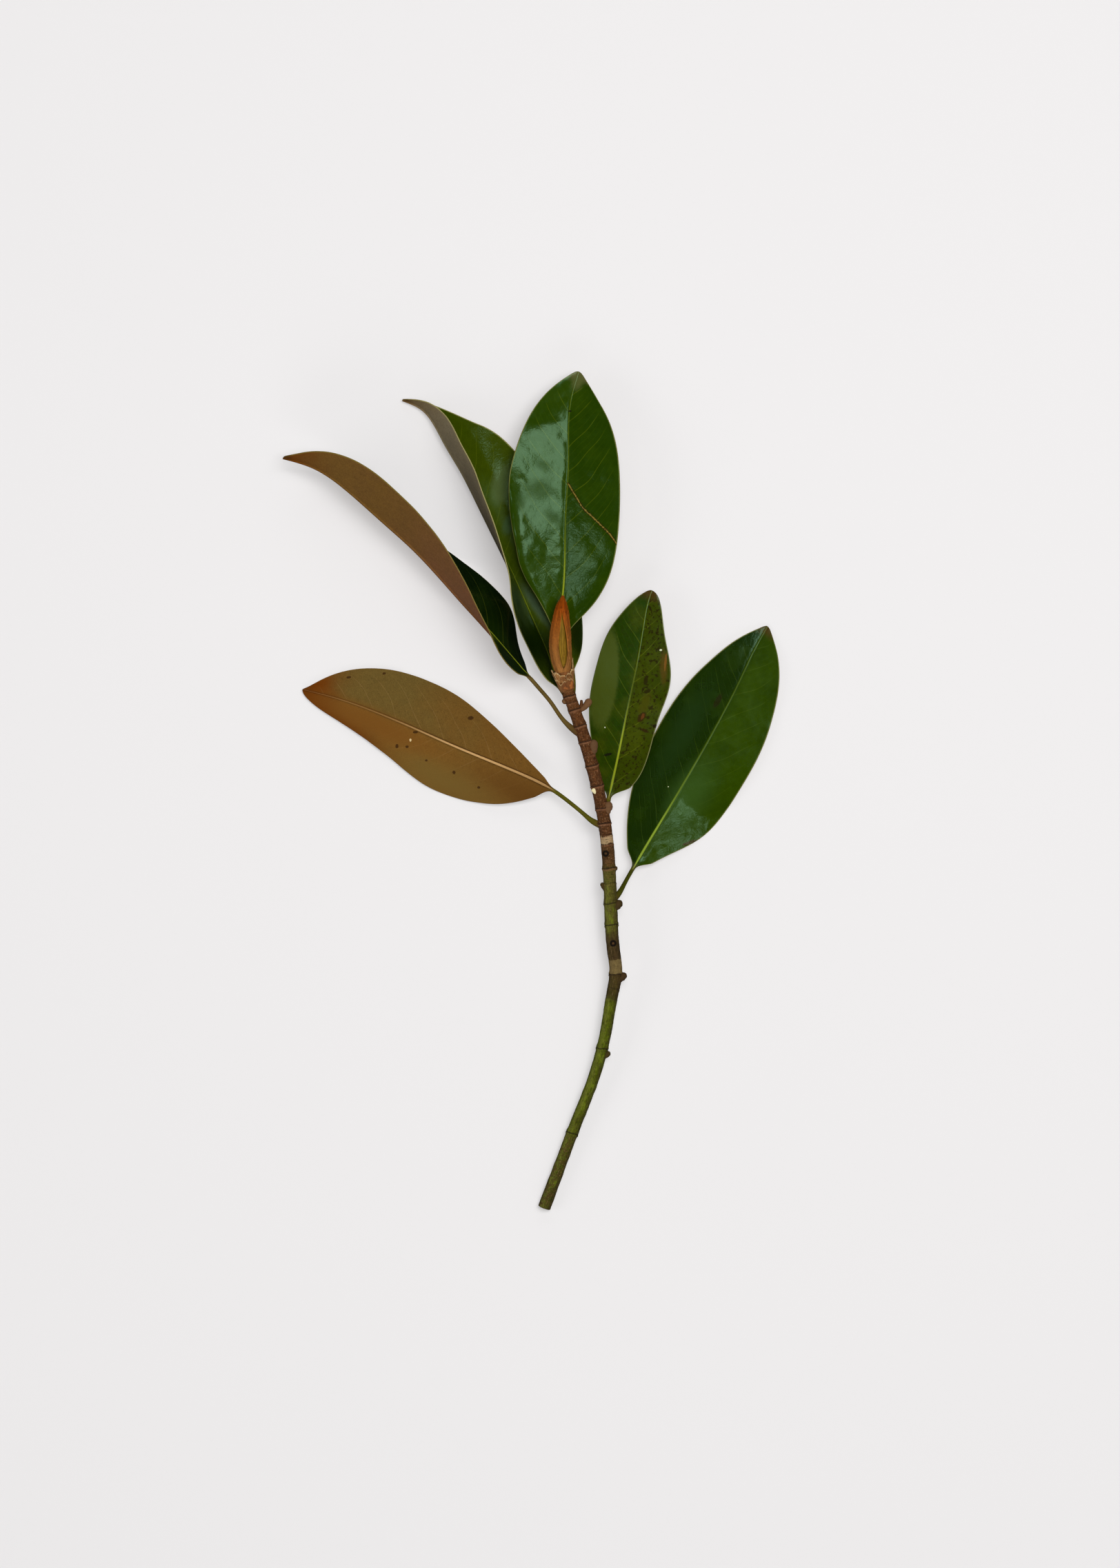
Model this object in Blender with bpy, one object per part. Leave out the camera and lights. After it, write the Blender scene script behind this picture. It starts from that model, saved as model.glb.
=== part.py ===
"""Magnolia leaf bunch: a cut twig with six leathery leaves and a furry bud, lying on a surface.

+Y runs along the twig towards its bud, +X to the right of it and +Z up from the surface. The origin is on
the surface, below the middle of the bunch. Sizes and places below are in millimetres, and MM turns them
into metres where the meshes are made.

A leaf is worked out from its midrib, a smooth curve through a few points, and from its two wings. A wing
has its half-width at eight stations along the midrib, and its lean: how steeply it rises from the midrib
towards the leaf's upper side, where 0 degrees is level, 90 upright and more has folded over.
"""

import math
from dataclasses import dataclass

import bmesh
import bpy
import numpy as np

MM = 0.001

# What lies lower than FLATTENED rests on the surface, and neighbours keep SEAT_GAP between them.
SEAT_GAP = 0.3
FLATTENED = 0.2
SHARP_ANGLE = math.radians(40)

# A profile is read in steps of its length, and its corners are rounded over this many steps.
PROFILE_STEP = 0.005
PROFILE_ROUNDING = 12

# Blades: a wing's half-widths are given at the stations, as shares of the blade's length. The grid's
# columns are shares of the wing's width, and its rows crowd towards both ends.
STATIONS = (0.04, 0.12, 0.25, 0.42, 0.60, 0.78, 0.92, 0.975)
BLADE_THICKNESS = 0.7
TIP_HALF_WIDTH = 0.45
BLADE_ROWS = 24
CROWDING = 0.65
FIRST_ROW = 0.002
WING_COLUMNS = (0.0, 0.3, 0.6, 0.84, 1.0)
LEAN_STEPS = 50

# The petiole runs on as the midrib, which sinks below the blade and tapers to its tip.
RIB_SIDES = 8
PETIOLE_ROWS = 8
PETIOLE_RADIUS = 1.15
RIB_ROWS = 18
RIB_RADIUS = 1.0
RIB_TIP_RADIUS = 0.35
RIB_TAPER = 0.8
RIB_DEPTH = 0.55
RIB_SINKS_BY = 0.05
RIB_END = 0.985

# The twig swells at each node, and its side buds start inside it and lean towards its tip.
TWIG_SIDES = 14
TWIG_ROWS = 52
NODE_SWELLING = 0.35
NODE_SPREAD = 1.5
SIDE_BUD_ROOT = 2.3
SIDE_BUD_SWEEP = 0.4

# The bud's slit starts this far along its line, a little to one side, and is cut between two heights.
BUD_SIDES = 20
SHEATH_ROWS = 20
SHEATH_THICKNESS = 1.0
BUD_ROWS = 18
COLLAR_ROWS = 12
LEAST_RADIUS = 0.3
SLIT_ROWS = 15
SLIT_START = 15.0
SLIT_LENGTH = 28.0
SLIT_HALF_WIDTH = 2.5
SLIT_END_HALF_WIDTH = 0.15
SLIT_ASIDE = 1.1
SLIT_ROUNDNESS = 0.8
SLIT_HEIGHTS = (2.0, 9.0)

TWIG_LINE = (
    (6.8, -229.2, 3.4),
    (15.0, -207.2, 4.4),
    (23.6, -184.3, 5.8),
    (34.2, -156.9, 8.0),
    (41.2, -129.5, 10.2),
    (44.3, -111.3, 11.8),
    (46.2, -98.4, 12.8),
    (45.1, -88.5, 13.6),
    (43.8, -72.6, 14.8),
    (43.3, -60.8, 15.7),
    (42.0, -34.7, 17.6),
    (39.9, -17.0, 18.8),
    (33.1, 14.4, 20.6),
    (26.5, 36.2, 21.7),
    (19.9, 54.6, 22.7),
)

# The twig's radius at shares of its length from the cut.
TWIG_RADII = (
    (0.0, 3.5),
    (0.12, 3.2),
    (0.38, 3.15),
    (0.44, 3.35),
    (0.47, 3.6),
    (0.62, 3.55),
    (0.88, 3.45),
    (1.0, 3.3),
)

# Where the rings of old bud scales swell the twig, by their Y.
NODES_AT = (52.4, 45.0, 36.4, 27.6, 14.4, 3.4, -8.9, -17.2, -41.8, -61.0, -72.8, -100.2, -140.8, -187.6)

# Side buds and stubs: Y on the twig, degrees round it (0 right, 90 up), reach out of it, and radius.
SIDE_BUDS = (
    (50.8, 190.0, 1.3, 1.0),
    (45.4, 12.0, 6.0, 1.7),
    (27.6, 20.0, 2.2, 1.5),
    (0.4, 165.0, 0.9, 1.2),
    (-5.0, 30.0, 1.6, 1.3),
    (-42.0, 5.0, 0.9, 1.4),
    (-51.2, 175.0, 1.6, 1.6),
    (-61.6, 12.0, 2.9, 2.5),
    (-100.8, 15.0, 2.5, 2.3),
    (-143.0, 10.0, 1.1, 1.6),
)

BUD_LINE = (
    (19.9, 54.6, 22.7),
    (18.6, 59.6, 23.9),
    (16.9, 69.0, 26.0),
    (15.8, 78.4, 28.0),
    (15.8, 87.7, 29.5),
    (16.3, 97.1, 30.8),
    (17.2, 107.2, 32.0),
)

# Radius of the bud at a distance along its line.
SHEATH_PROFILE = (
    (9.5, 4.0),
    (12.0, 4.9),
    (16.0, 5.7),
    (23.0, 6.15),
    (31.0, 5.9),
    (40.0, 4.7),
    (48.0, 2.8),
    (53.5, 0.5),
)
COLLAR_PROFILE = ((0.4, 3.5), (2.5, 4.1), (5.0, 4.5), (8.0, 5.0), (11.5, 5.8))


@dataclass
class Wing:
    """One half of a blade: its half-widths at the stations and its lean at shares of the blade's length.

    curl is the further lean of its edge. It grows with the share of the width to the given power.
    """

    halves: tuple
    lean: tuple
    curl: tuple = ((0.0, 0.0),)
    curl_power: float = 2.0


@dataclass
class Leaf:
    """A leaf, with its petiole from the twig to the blade's base and its midrib from there to the tip.

    right is on +X when the tip points to +Y. ripple is the size in degrees, the number and the start of
    the waves that the lean has along the blade.
    """

    name: str
    petiole: tuple
    midrib: tuple
    left: Wing
    right: Wing
    colour: tuple
    underside_up: bool = False
    ripple: tuple = (0.0, 1.0, 0.0)


LEAVES = (
    Leaf(
        name="leaf_crown",
        petiole=((21.6, 51.0, 20.5), (22.8, 57.5, 17.6), (22.6, 65.0, 17.2), (20.8, 72.5, 17.4)),
        midrib=(
            (17.4, 79.5, 18.2),
            (17.0, 107.2, 20.2),
            (18.6, 150.2, 21.3),
            (20.2, 181.0, 20.5),
            (21.5, 214.2, 17.8),
            (25.8, 230.3, 15.0),
        ),
        left=Wing(
            halves=(2.4, 8.8, 22.6, 30.0, 32.9, 25.4, 11.4, 4.6),
            lean=((0.0, 16.0), (0.5, 13.0), (1.0, 6.0)),
            curl=((0.0, 0.0), (0.25, -60.0), (0.7, -60.0), (0.85, 0.0)),
            curl_power=6.0,
        ),
        right=Wing(
            halves=(3.7, 12.5, 24.3, 29.5, 28.9, 24.2, 13.6, 5.6),
            lean=((0.0, 12.0), (0.5, 10.0), (1.0, 4.0)),
            curl=((0.0, -6.0),),
        ),
        colour=(0.065, 0.13, 0.02),
        ripple=(2.5, 3.0, 0.2),
    ),
    Leaf(
        name="leaf_back",
        petiole=((23.9, 48.3, 21.0), (20.6, 50.6, 17.0)),
        midrib=(
            (17.0, 54.8, 14.6),
            (9.2, 74.5, 13.6),
            (3.5, 87.8, 13.2),
            (-11.8, 122.2, 13.0),
            (-27.9, 155.0, 12.0),
            (-39.6, 177.8, 9.8),
            (-47.3, 190.8, 8.0),
            (-53.0, 201.6, 6.0),
            (-59.2, 209.8, 4.4),
            (-71.0, 215.8, 2.4),
        ),
        left=Wing(
            halves=(8.0, 19.0, 29.0, 34.0, 33.0, 25.0, 9.5, 3.2),
            lean=(
                (0.0, 50.0),
                (0.12, 61.0),
                (0.27, 74.5),
                (0.36, 84.0),
                (0.42, 87.5),
                (0.6, 96.0),
                (0.78, 106.0),
                (1.0, 124.0),
            ),
            curl=((0.0, 6.0),),
        ),
        right=Wing(
            halves=(9.5, 20.5, 29.5, 33.5, 34.0, 24.8, 5.6, 1.5),
            lean=((0.0, 2.0), (0.6, 6.0), (0.78, 15.0), (1.0, 22.0)),
        ),
        colour=(0.05, 0.11, 0.02),
        ripple=(2.0, 2.5, 0.0),
    ),
    Leaf(
        name="leaf_far_left",
        petiole=(
            (25.6, 32.0, 21.5),
            (22.0, 34.7, 21.2),
            (16.7, 40.0, 20.5),
            (10.7, 48.7, 20.0),
            (5.4, 55.1, 20.0),
        ),
        midrib=(
            (0.1, 61.2, 20.4),
            (-14.2, 77.7, 23.6),
            (-24.3, 89.1, 25.6),
            (-37.6, 103.7, 27.0),
            (-64.6, 133.0, 28.5),
            (-81.0, 147.7, 28.6),
            (-100.2, 164.6, 27.0),
            (-118.6, 177.2, 22.5),
            (-136.0, 183.0, 17.0),
        ),
        left=Wing(
            halves=(8.5, 18.0, 26.0, 30.7, 30.5, 24.7, 11.0, 4.2),
            lean=(
                (0.0, 60.0),
                (0.09, 69.0),
                (0.2, 89.0),
                (0.33, 103.0),
                (0.6, 120.0),
                (0.76, 127.0),
                (0.87, 124.0),
                (1.0, 112.0),
            ),
            curl=((0.0, 6.0),),
        ),
        right=Wing(
            halves=(8.5, 18.0, 26.0, 30.7, 30.5, 24.7, 11.6, 4.8),
            lean=(
                (0.0, -76.0),
                (0.08, -66.0),
                (0.19, -39.0),
                (0.3, -50.0),
                (0.39, -61.0),
                (0.5, -72.0),
                (0.7, -80.0),
                (1.0, -82.0),
            ),
        ),
        colour=(0.16, 0.09, 0.035),
        ripple=(1.5, 2.0, 0.3),
    ),
    Leaf(
        name="leaf_low_left",
        petiole=((38.6, -18.6, 18.8), (34.1, -16.6, 17.9), (28.4, -12.1, 15.5), (22.0, -6.8, 13.5)),
        midrib=(
            (12.9, 0.0, 11.2),
            (-7.1, 10.2, 10.8),
            (-44.2, 25.7, 10.0),
            (-64.6, 34.8, 9.2),
            (-82.5, 42.4, 7.8),
            (-105.7, 50.8, 4.6),
            (-126.0, 56.2, 1.6),
        ),
        left=Wing(
            halves=(6.3, 16.6, 25.3, 27.9, 21.6, 14.4, 8.4, 4.4),
            lean=((0.0, 15.0), (0.4, 16.0), (0.8, 14.0), (1.0, 4.0)),
            curl=((0.0, 12.0), (1.0, 6.0)),
        ),
        right=Wing(
            halves=(3.0, 8.2, 17.0, 25.8, 28.4, 23.0, 10.9, 3.4),
            lean=((0.0, 20.0), (0.4, 16.0), (0.8, 12.0), (1.0, 4.0)),
            curl=((0.0, 10.0), (1.0, 5.0)),
        ),
        colour=(0.14, 0.09, 0.025),
        underside_up=True,
        ripple=(2.0, 3.0, 0.4),
    ),
    Leaf(
        name="leaf_mid_right",
        petiole=((38.2, -9.6, 18.6), (40.4, -9.2, 15.6)),
        midrib=(
            (42.2, -4.2, 13.6),
            (47.3, 18.9, 14.0),
            (52.2, 43.1, 15.0),
            (57.2, 67.3, 15.2),
            (61.7, 93.4, 13.6),
            (63.8, 104.0, 12.6),
            (65.9, 110.5, 12.0),
        ),
        left=Wing(
            halves=(6.2, 10.9, 16.2, 21.3, 21.7, 18.2, 9.0, 3.9),
            lean=((0.0, -4.0), (0.3, -2.0), (0.5, 8.0), (1.0, 8.0)),
            curl=((0.0, -6.0),),
        ),
        right=Wing(
            halves=(7.2, 13.2, 16.4, 17.9, 19.9, 13.3, 8.4, 5.2),
            lean=((0.0, 4.0), (0.5, 4.0), (1.0, 4.0)),
            curl=((0.0, -14.0),),
        ),
        colour=(0.06, 0.075, 0.015),
        ripple=(2.0, 3.5, 0.1),
    ),
    Leaf(
        name="leaf_low_right",
        petiole=((43.6, -60.0, 15.6), (47.2, -56.6, 14.6), (51.0, -50.4, 12.2)),
        midrib=(
            (55.3, -42.8, 9.6),
            (66.3, -24.2, 6.9),
            (76.2, -7.9, 5.7),
            (91.7, 18.6, 4.9),
            (106.9, 46.2, 4.4),
            (114.1, 60.3, 3.8),
            (121.4, 75.9, 2.7),
            (129.8, 91.1, 0.8),
        ),
        left=Wing(
            halves=(6.4, 14.3, 23.1, 27.2, 27.0, 20.7, 9.8, 3.8),
            lean=((0.0, 4.0), (0.5, 6.0), (1.0, 10.0)),
            curl=((0.0, -6.0),),
        ),
        right=Wing(
            halves=(6.4, 14.3, 25.6, 28.6, 28.3, 22.8, 13.4, 5.6),
            lean=((0.0, -6.0), (0.5, -10.0), (1.0, 0.0)),
            curl=((0.0, -8.0),),
        ),
        colour=(0.05, 0.1, 0.015),
        ripple=(2.0, 3.0, 0.6),
    ),
)


def natural_spline(knots, values, at):
    """The smooth curve through values at knots, read at the places asked for."""
    knots = np.asarray(knots, float)
    values = np.asarray(values, float)
    steps = np.diff(knots)
    slopes = np.diff(values, axis=0) / steps.reshape(-1, *[1] * (values.ndim - 1))
    count = len(knots)
    matrix = np.eye(count)
    target = np.zeros_like(values)
    for i in range(1, count - 1):
        matrix[i, i - 1 : i + 2] = steps[i - 1], 2 * (steps[i - 1] + steps[i]), steps[i]
        target[i] = 6 * (slopes[i] - slopes[i - 1])
    bends = np.linalg.solve(matrix, target)
    cell = np.clip(np.searchsorted(knots, at) - 1, 0, count - 2)
    extra = (slice(None),) + (None,) * (values.ndim - 1)
    length = steps[cell][extra]
    past = (np.asarray(at) - knots[cell])[extra]
    left = length - past
    return (
        (bends[cell] * left**3 + bends[cell + 1] * past**3) / (6 * length)
        + (values[cell] / length - bends[cell] * length / 6) * left
        + (values[cell + 1] / length - bends[cell + 1] * length / 6) * past
    )


def rounded_profile(pairs, at):
    """A value given at a few places between 0 and 1, with its corners rounded off."""
    fine = np.arange(0.0, 1.0 + PROFILE_STEP, PROFILE_STEP)
    values = np.interp(fine, [place for place, _ in pairs], [value for _, value in pairs])
    kernel = np.hanning(2 * PROFILE_ROUNDING + 1)
    padded = np.pad(values, PROFILE_ROUNDING, mode="edge")
    return np.interp(at, fine, np.convolve(padded, kernel / kernel.sum(), mode="valid"))


def along_curve(points, samples=600):
    """Distances along the smooth curve through points, its places, and the distance of each point."""
    points = np.asarray(points, float)
    knots = np.concatenate([[0.0], np.cumsum(np.linalg.norm(np.diff(points, axis=0), axis=1))])
    fine = np.unique(np.concatenate([np.linspace(0.0, knots[-1], samples), knots]))
    places = natural_spline(knots, points, fine)
    distances = np.concatenate([[0.0], np.cumsum(np.linalg.norm(np.diff(places, axis=0), axis=1))])
    return distances, places, np.interp(knots, fine, distances)


def read_curve(distances, places, at):
    """Places and unit directions on a curve at the distances asked for."""
    ahead = np.gradient(places, distances, axis=0)
    found = np.stack([np.interp(at, distances, places[:, i]) for i in range(3)], axis=-1)
    direction = np.stack([np.interp(at, distances, ahead[:, i]) for i in range(3)], axis=-1)
    return found, direction / np.linalg.norm(direction, axis=-1, keepdims=True)


def blade_frame(leaf, along):
    """The midrib, and the directions to the right and to the leaf's upper side, at shares of the blade."""
    distances, places, knots = along_curve(leaf.petiole + leaf.midrib)
    start, end = knots[len(leaf.petiole)], knots[-1]
    middle, ahead = read_curve(distances, places, start + np.asarray(along) * (end - start))
    up = np.array([0.0, 0.0, 1.0]) - ahead * ahead[:, 2:]
    up /= np.linalg.norm(up, axis=1, keepdims=True)
    right = np.cross(ahead, up)
    return middle, right, -up if leaf.underside_up else up


def half_width(wing, along):
    """A wing's half-width. Between the stations it is a spline over an angle, which rounds both ends."""
    angles = np.arccos(1 - 2 * np.array((0.0,) + STATIONS + (1.0,)))
    widths = natural_spline(angles, (0.0,) + wing.halves + (0.0,), np.arccos(1 - 2 * along))
    return np.hypot(np.maximum(widths, 0.0), TIP_HALF_WIDTH)


def wing_offsets(leaf, wing, along, columns):
    """How far each column of a wing lies out from the midrib and up from it."""
    share = np.linspace(0.0, 1.0, LEAN_STEPS + 1)
    size, waves, start = leaf.ripple
    ripple = size * np.sin(2 * np.pi * (waves * along + start))
    lean = rounded_profile(wing.lean, along)[:, None] + ripple[:, None] * share
    lean = np.radians(lean + rounded_profile(wing.curl, along)[:, None] * share**wing.curl_power)
    between = (lean[:, 1:] + lean[:, :-1]) / 2
    width = half_width(wing, along)[:, None]
    out = np.concatenate([0 * width, np.cumsum(np.cos(between), axis=1) * width / LEAN_STEPS], axis=1)
    rise = np.concatenate([0 * width, np.cumsum(np.sin(between), axis=1) * width / LEAN_STEPS], axis=1)
    picked = np.rint(np.asarray(columns) * LEAN_STEPS).astype(int)
    return out[:, picked], rise[:, picked]


def blade_surface(leaf, along, columns):
    """A grid of places on the blade's middle surface, from the left edge to the right one."""
    middle, right, up = blade_frame(leaf, along)
    sides = []
    for wing, sign in ((leaf.left, -1.0), (leaf.right, 1.0)):
        out, rise = wing_offsets(leaf, wing, along, columns)
        across = sign * out[..., None] * right[:, None]
        sides.append(middle[:, None] + across + rise[..., None] * up[:, None])
    grid = np.concatenate([sides[0][:, :0:-1], sides[1]], axis=1)
    grid[..., 2] = np.maximum(grid[..., 2], BLADE_THICKNESS / 2)
    return grid


def grid_normals(grid):
    """Unit normals of a grid of places."""
    normals = np.cross(np.gradient(grid, axis=1), np.gradient(grid, axis=0))
    return normals / np.linalg.norm(normals, axis=-1, keepdims=True)


def grid_triangles(rows, columns):
    """Two triangles for each cell of a grid whose vertices are numbered row by row."""
    corner = (np.arange(rows - 1)[:, None] * columns + np.arange(columns - 1)).reshape(-1)
    ahead = corner + columns
    near = np.stack([corner, corner + 1, ahead + 1], axis=1)
    far = np.stack([corner, ahead + 1, ahead], axis=1)
    return np.concatenate([near, far])


def slab(grid, thickness):
    """Vertices and triangles of a closed sheet of the given thickness about a grid of places."""
    rows, columns = grid.shape[:2]
    offset = grid_normals(grid) * thickness / 2
    vertices = np.concatenate([(grid + offset).reshape(-1, 3), (grid - offset).reshape(-1, 3)])
    top = grid_triangles(rows, columns)
    numbers = np.arange(rows * columns).reshape(rows, columns)
    border = np.concatenate([numbers[0], numbers[1:, -1], numbers[-1, -2::-1], numbers[-2:0:-1, 0]])
    following = np.roll(border, -1)
    under = rows * columns
    side = np.concatenate(
        [
            np.stack([border, border + under, following + under], axis=1),
            np.stack([border, following + under, following], axis=1),
        ]
    )
    return vertices, np.concatenate([top, top[:, ::-1] + under, side])


def tube(centres, radii, sides):
    """Vertices and faces of a closed tube along centres."""
    ahead = np.gradient(centres, axis=0)
    ahead /= np.linalg.norm(ahead, axis=1, keepdims=True)
    across = np.cross(ahead, [0.0, 0.0, 1.0])
    across /= np.linalg.norm(across, axis=1, keepdims=True)
    up = np.cross(across, ahead)
    turn = np.linspace(0, 2 * np.pi, sides, endpoint=False)
    ring = across[:, None] * np.cos(turn)[:, None] + up[:, None] * np.sin(turn)[:, None]
    vertices = (centres[:, None] + ring * radii[:, None, None]).reshape(-1, 3)
    return vertices, ring_faces(len(centres), sides)


def ring_faces(rows, sides):
    """The faces of a closed body whose vertices are rings, numbered ring by ring."""
    faces = [tuple(range(sides))[::-1]]
    for row in range(rows - 1):
        low, high = row * sides, (row + 1) * sides
        for side in range(sides):
            following = (side + 1) % sides
            faces.append((low + side, low + following, high + following, high + side))
    faces.append(tuple(range((rows - 1) * sides, rows * sides)))
    return faces


def add_object(name, vertices, faces, material=None):
    """A mesh object from vertices in millimetres, with its faces turned outwards and none below z = 0."""
    vertices = np.array(vertices, float)
    vertices[:, 2] = np.where(vertices[:, 2] < FLATTENED, 0.0, vertices[:, 2])
    mesh = bpy.data.meshes.new(name)
    mesh.from_pydata((vertices * MM).tolist(), [], [tuple(int(i) for i in face) for face in faces])
    shape = bmesh.new()
    shape.from_mesh(mesh)
    bmesh.ops.recalc_face_normals(shape, faces=shape.faces)
    shape.to_mesh(mesh)
    shape.free()
    mesh.shade_smooth()
    mesh.set_sharp_from_angle(angle=SHARP_ANGLE)
    if material:
        mesh.materials.append(material)
    obj = bpy.data.objects.new(name, mesh)
    bpy.context.scene.collection.objects.link(obj)
    return obj


def hide_helper(obj):
    """Marks an object that only cuts or joins others."""
    obj.hide_render = True
    obj.display_type = "WIRE"
    return obj


def combine(obj, helper, operation):
    """Adds a Boolean modifier that joins helper to obj or cuts it away."""
    modifier = obj.modifiers.new(f"{operation.lower()} {helper.name}", "BOOLEAN")
    modifier.operation = operation
    modifier.solver = "EXACT"
    modifier.object = hide_helper(helper)


def join_repeats(obj, repeats):
    """Joins small repeats to obj by one Boolean union on a collection, applies it and removes them."""
    collection = bpy.data.collections.new(f"{obj.name} repeats")
    bpy.context.scene.collection.children.link(collection)
    for repeat in repeats:
        collection.objects.link(hide_helper(repeat))
    modifier = obj.modifiers.new("repeats", "BOOLEAN")
    modifier.operation = "UNION"
    modifier.operand_type = "COLLECTION"
    modifier.collection = collection
    modifier.solver = "EXACT"
    graph = bpy.context.evaluated_depsgraph_get()
    joined = bpy.data.meshes.new_from_object(obj.evaluated_get(graph))
    obj.modifiers.clear()
    obj.data = joined
    for repeat in repeats:
        bpy.data.objects.remove(repeat)
    bpy.data.collections.remove(collection)


def make_material(name, colour, roughness):
    """A plain material of one colour."""
    material = bpy.data.materials.new(name)
    material.use_nodes = True
    shader = material.node_tree.nodes["Principled BSDF"]
    shader.inputs["Base Color"].default_value = (*colour, 1.0)
    shader.inputs["Roughness"].default_value = roughness
    shader.inputs["Metallic"].default_value = 0.0
    return material


def blade_rows():
    """Shares of the blade's length, closer together at both ends."""
    even = np.linspace(0.0, 1.0, BLADE_ROWS)
    crowded = (1 - np.cos(np.pi * even)) / 2
    return np.clip(even + CROWDING * (crowded - even), FIRST_ROW, 1 - FIRST_ROW)


def rib_line(leaf):
    """Centres and radii of the petiole and of the midrib that stands out under the blade."""
    distances, places, knots = along_curve(leaf.petiole + leaf.midrib)
    petiole_at = np.linspace(0.0, knots[len(leaf.petiole)], PETIOLE_ROWS)[:-1]
    blade_at = np.linspace(0.0, RIB_END, RIB_ROWS)
    stem, _ = read_curve(distances, places, petiole_at)
    middle, right, up = blade_frame(leaf, blade_at)
    leans = rounded_profile(leaf.left.lean, blade_at) - rounded_profile(leaf.right.lean, blade_at)
    turn = np.radians(leans)[:, None] / 2
    under = -(np.cos(turn) * up + np.sin(turn) * right)
    radii = RIB_RADIUS + (RIB_TIP_RADIUS - RIB_RADIUS) * blade_at**RIB_TAPER
    depth = RIB_DEPTH * np.clip(blade_at / RIB_SINKS_BY, 0.0, 1.0)
    centres = np.concatenate([stem, middle + under * depth[:, None]])
    return centres, np.concatenate([np.full(len(stem), PETIOLE_RADIUS), radii])


def build_leaf(leaf, seat):
    """The blade with its midrib and petiole. The petiole ends just clear of the twig."""
    grid = blade_surface(leaf, blade_rows(), WING_COLUMNS)
    material = make_material(leaf.name, leaf.colour, 0.45)
    blade = add_object(leaf.name, *slab(grid, BLADE_THICKNESS), material)
    combine(blade, add_object(f"{leaf.name} rib", *tube(*rib_line(leaf), RIB_SIDES)), "UNION")
    combine(blade, seat, "DIFFERENCE")


def twig_radius(places):
    """The twig's radius, which tapers to the bud and swells at each node."""
    share = np.concatenate([[0.0], np.cumsum(np.linalg.norm(np.diff(places, axis=0), axis=1))])
    radius = rounded_profile(TWIG_RADII, share / share[-1])
    for node in NODES_AT:
        radius = radius + NODE_SWELLING * np.exp(-(((places[:, 1] - node) / NODE_SPREAD) ** 2))
    return radius


def distance_at(y, distances, places):
    """The distance along the twig at which it passes a given Y."""
    order = np.argsort(places[:, 1])
    return np.interp(y, places[order, 1], distances[order])


def side_bud(name, centre, ahead, degrees, reach, radius, grown):
    """An egg-shaped bud that leans out of the twig and towards its tip, rooted well inside the twig."""
    across = np.cross(ahead, [0.0, 0.0, 1.0])
    across /= np.linalg.norm(across)
    up = np.cross(across, ahead)
    out = across * math.cos(math.radians(degrees)) + up * math.sin(math.radians(degrees))
    side = np.cross(out, ahead)
    half = (TWIG_RADII[-1][1] - SIDE_BUD_ROOT + reach) / 2
    swept = ahead + SIDE_BUD_SWEEP * out
    axes = np.stack([out * (half + grown), swept * (radius + grown), side * (radius + grown)])
    shape = bmesh.new()
    bmesh.ops.create_icosphere(shape, subdivisions=2, radius=1.0)
    ball = np.array([vertex.co for vertex in shape.verts])
    faces = [[vertex.index for vertex in face.verts] for face in shape.faces]
    shape.free()
    return add_object(name, ball @ axes + centre + out * (SIDE_BUD_ROOT + half), faces)


def build_twig(name, material, grown=0.0):
    """The twig with its side buds. grown makes it thicker all round, to cut its neighbours clear of it."""
    distances, places, _ = along_curve(TWIG_LINE)
    nodes = distance_at(NODES_AT, distances, places)
    even = np.linspace(0.0, distances[-1], TWIG_ROWS)
    clear = np.abs(even[:, None] - nodes).min(axis=1) > NODE_SPREAD
    rows = np.sort(np.concatenate([even[clear], nodes]))
    centres, ahead = read_curve(distances, places, rows)
    radii = twig_radius(centres) + grown
    centres[0] -= ahead[0] * grown
    centres[-1] += ahead[-1] * grown
    twig = add_object(name, *tube(centres, radii, TWIG_SIDES), material)
    buds = []
    for y, degrees, reach, radius in SIDE_BUDS:
        at = np.array([distance_at(y, distances, places)])
        (centre,), (ahead,) = read_curve(distances, places, at)
        buds.append(side_bud(f"{name} side bud", centre, ahead, degrees, reach, radius, grown))
    join_repeats(twig, buds)
    return twig


def bud_tube(profile, rows, grown=0.0):
    """A closed round body along the bud's line, from a profile of distances and radii."""
    distances, places, _ = along_curve(BUD_LINE)
    even = (1 - np.cos(np.linspace(0.0, np.pi, rows))) / 2
    at = profile[0][0] - grown + even * (profile[-1][0] - profile[0][0] + 2 * grown)
    knots = [distance for distance, _ in profile]
    held = np.clip(at, knots[0], knots[-1])
    radii = natural_spline(knots, [radius for _, radius in profile], held) + grown
    centres, _ = read_curve(distances, places, at)
    return tube(centres, np.maximum(radii, LEAST_RADIUS), BUD_SIDES)


def shrunk(profile, wall):
    """The profile of a body that lies inside another by the width of a wall, also at its two ends."""
    inner = [(distance, max(radius - wall, LEAST_RADIUS)) for distance, radius in profile]
    inner[0] = (inner[0][0] + wall, inner[0][1])
    inner[-1] = (inner[-1][0] - wall, inner[-1][1])
    return tuple(inner)


def slit_cutter():
    """A pointed lens that cuts down into the sheath's upper side."""
    distances, places, _ = along_curve(BUD_LINE)
    share = np.linspace(0.0, 1.0, SLIT_ROWS)
    centres, _ = read_curve(distances, places, SLIT_START + SLIT_LENGTH * share)
    half = SLIT_END_HALF_WIDTH + SLIT_HALF_WIDTH * np.sin(np.pi * share) ** SLIT_ROUNDNESS
    low, high = SLIT_HEIGHTS
    vertices = []
    for centre, reach in zip(centres, half):
        for side, height in ((-reach, low), (reach, low), (reach, high), (-reach, high)):
            vertices.append(centre + np.array([SLIT_ASIDE + side, 0.0, height]))
    return np.array(vertices), ring_faces(SLIT_ROWS, 4)


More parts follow.
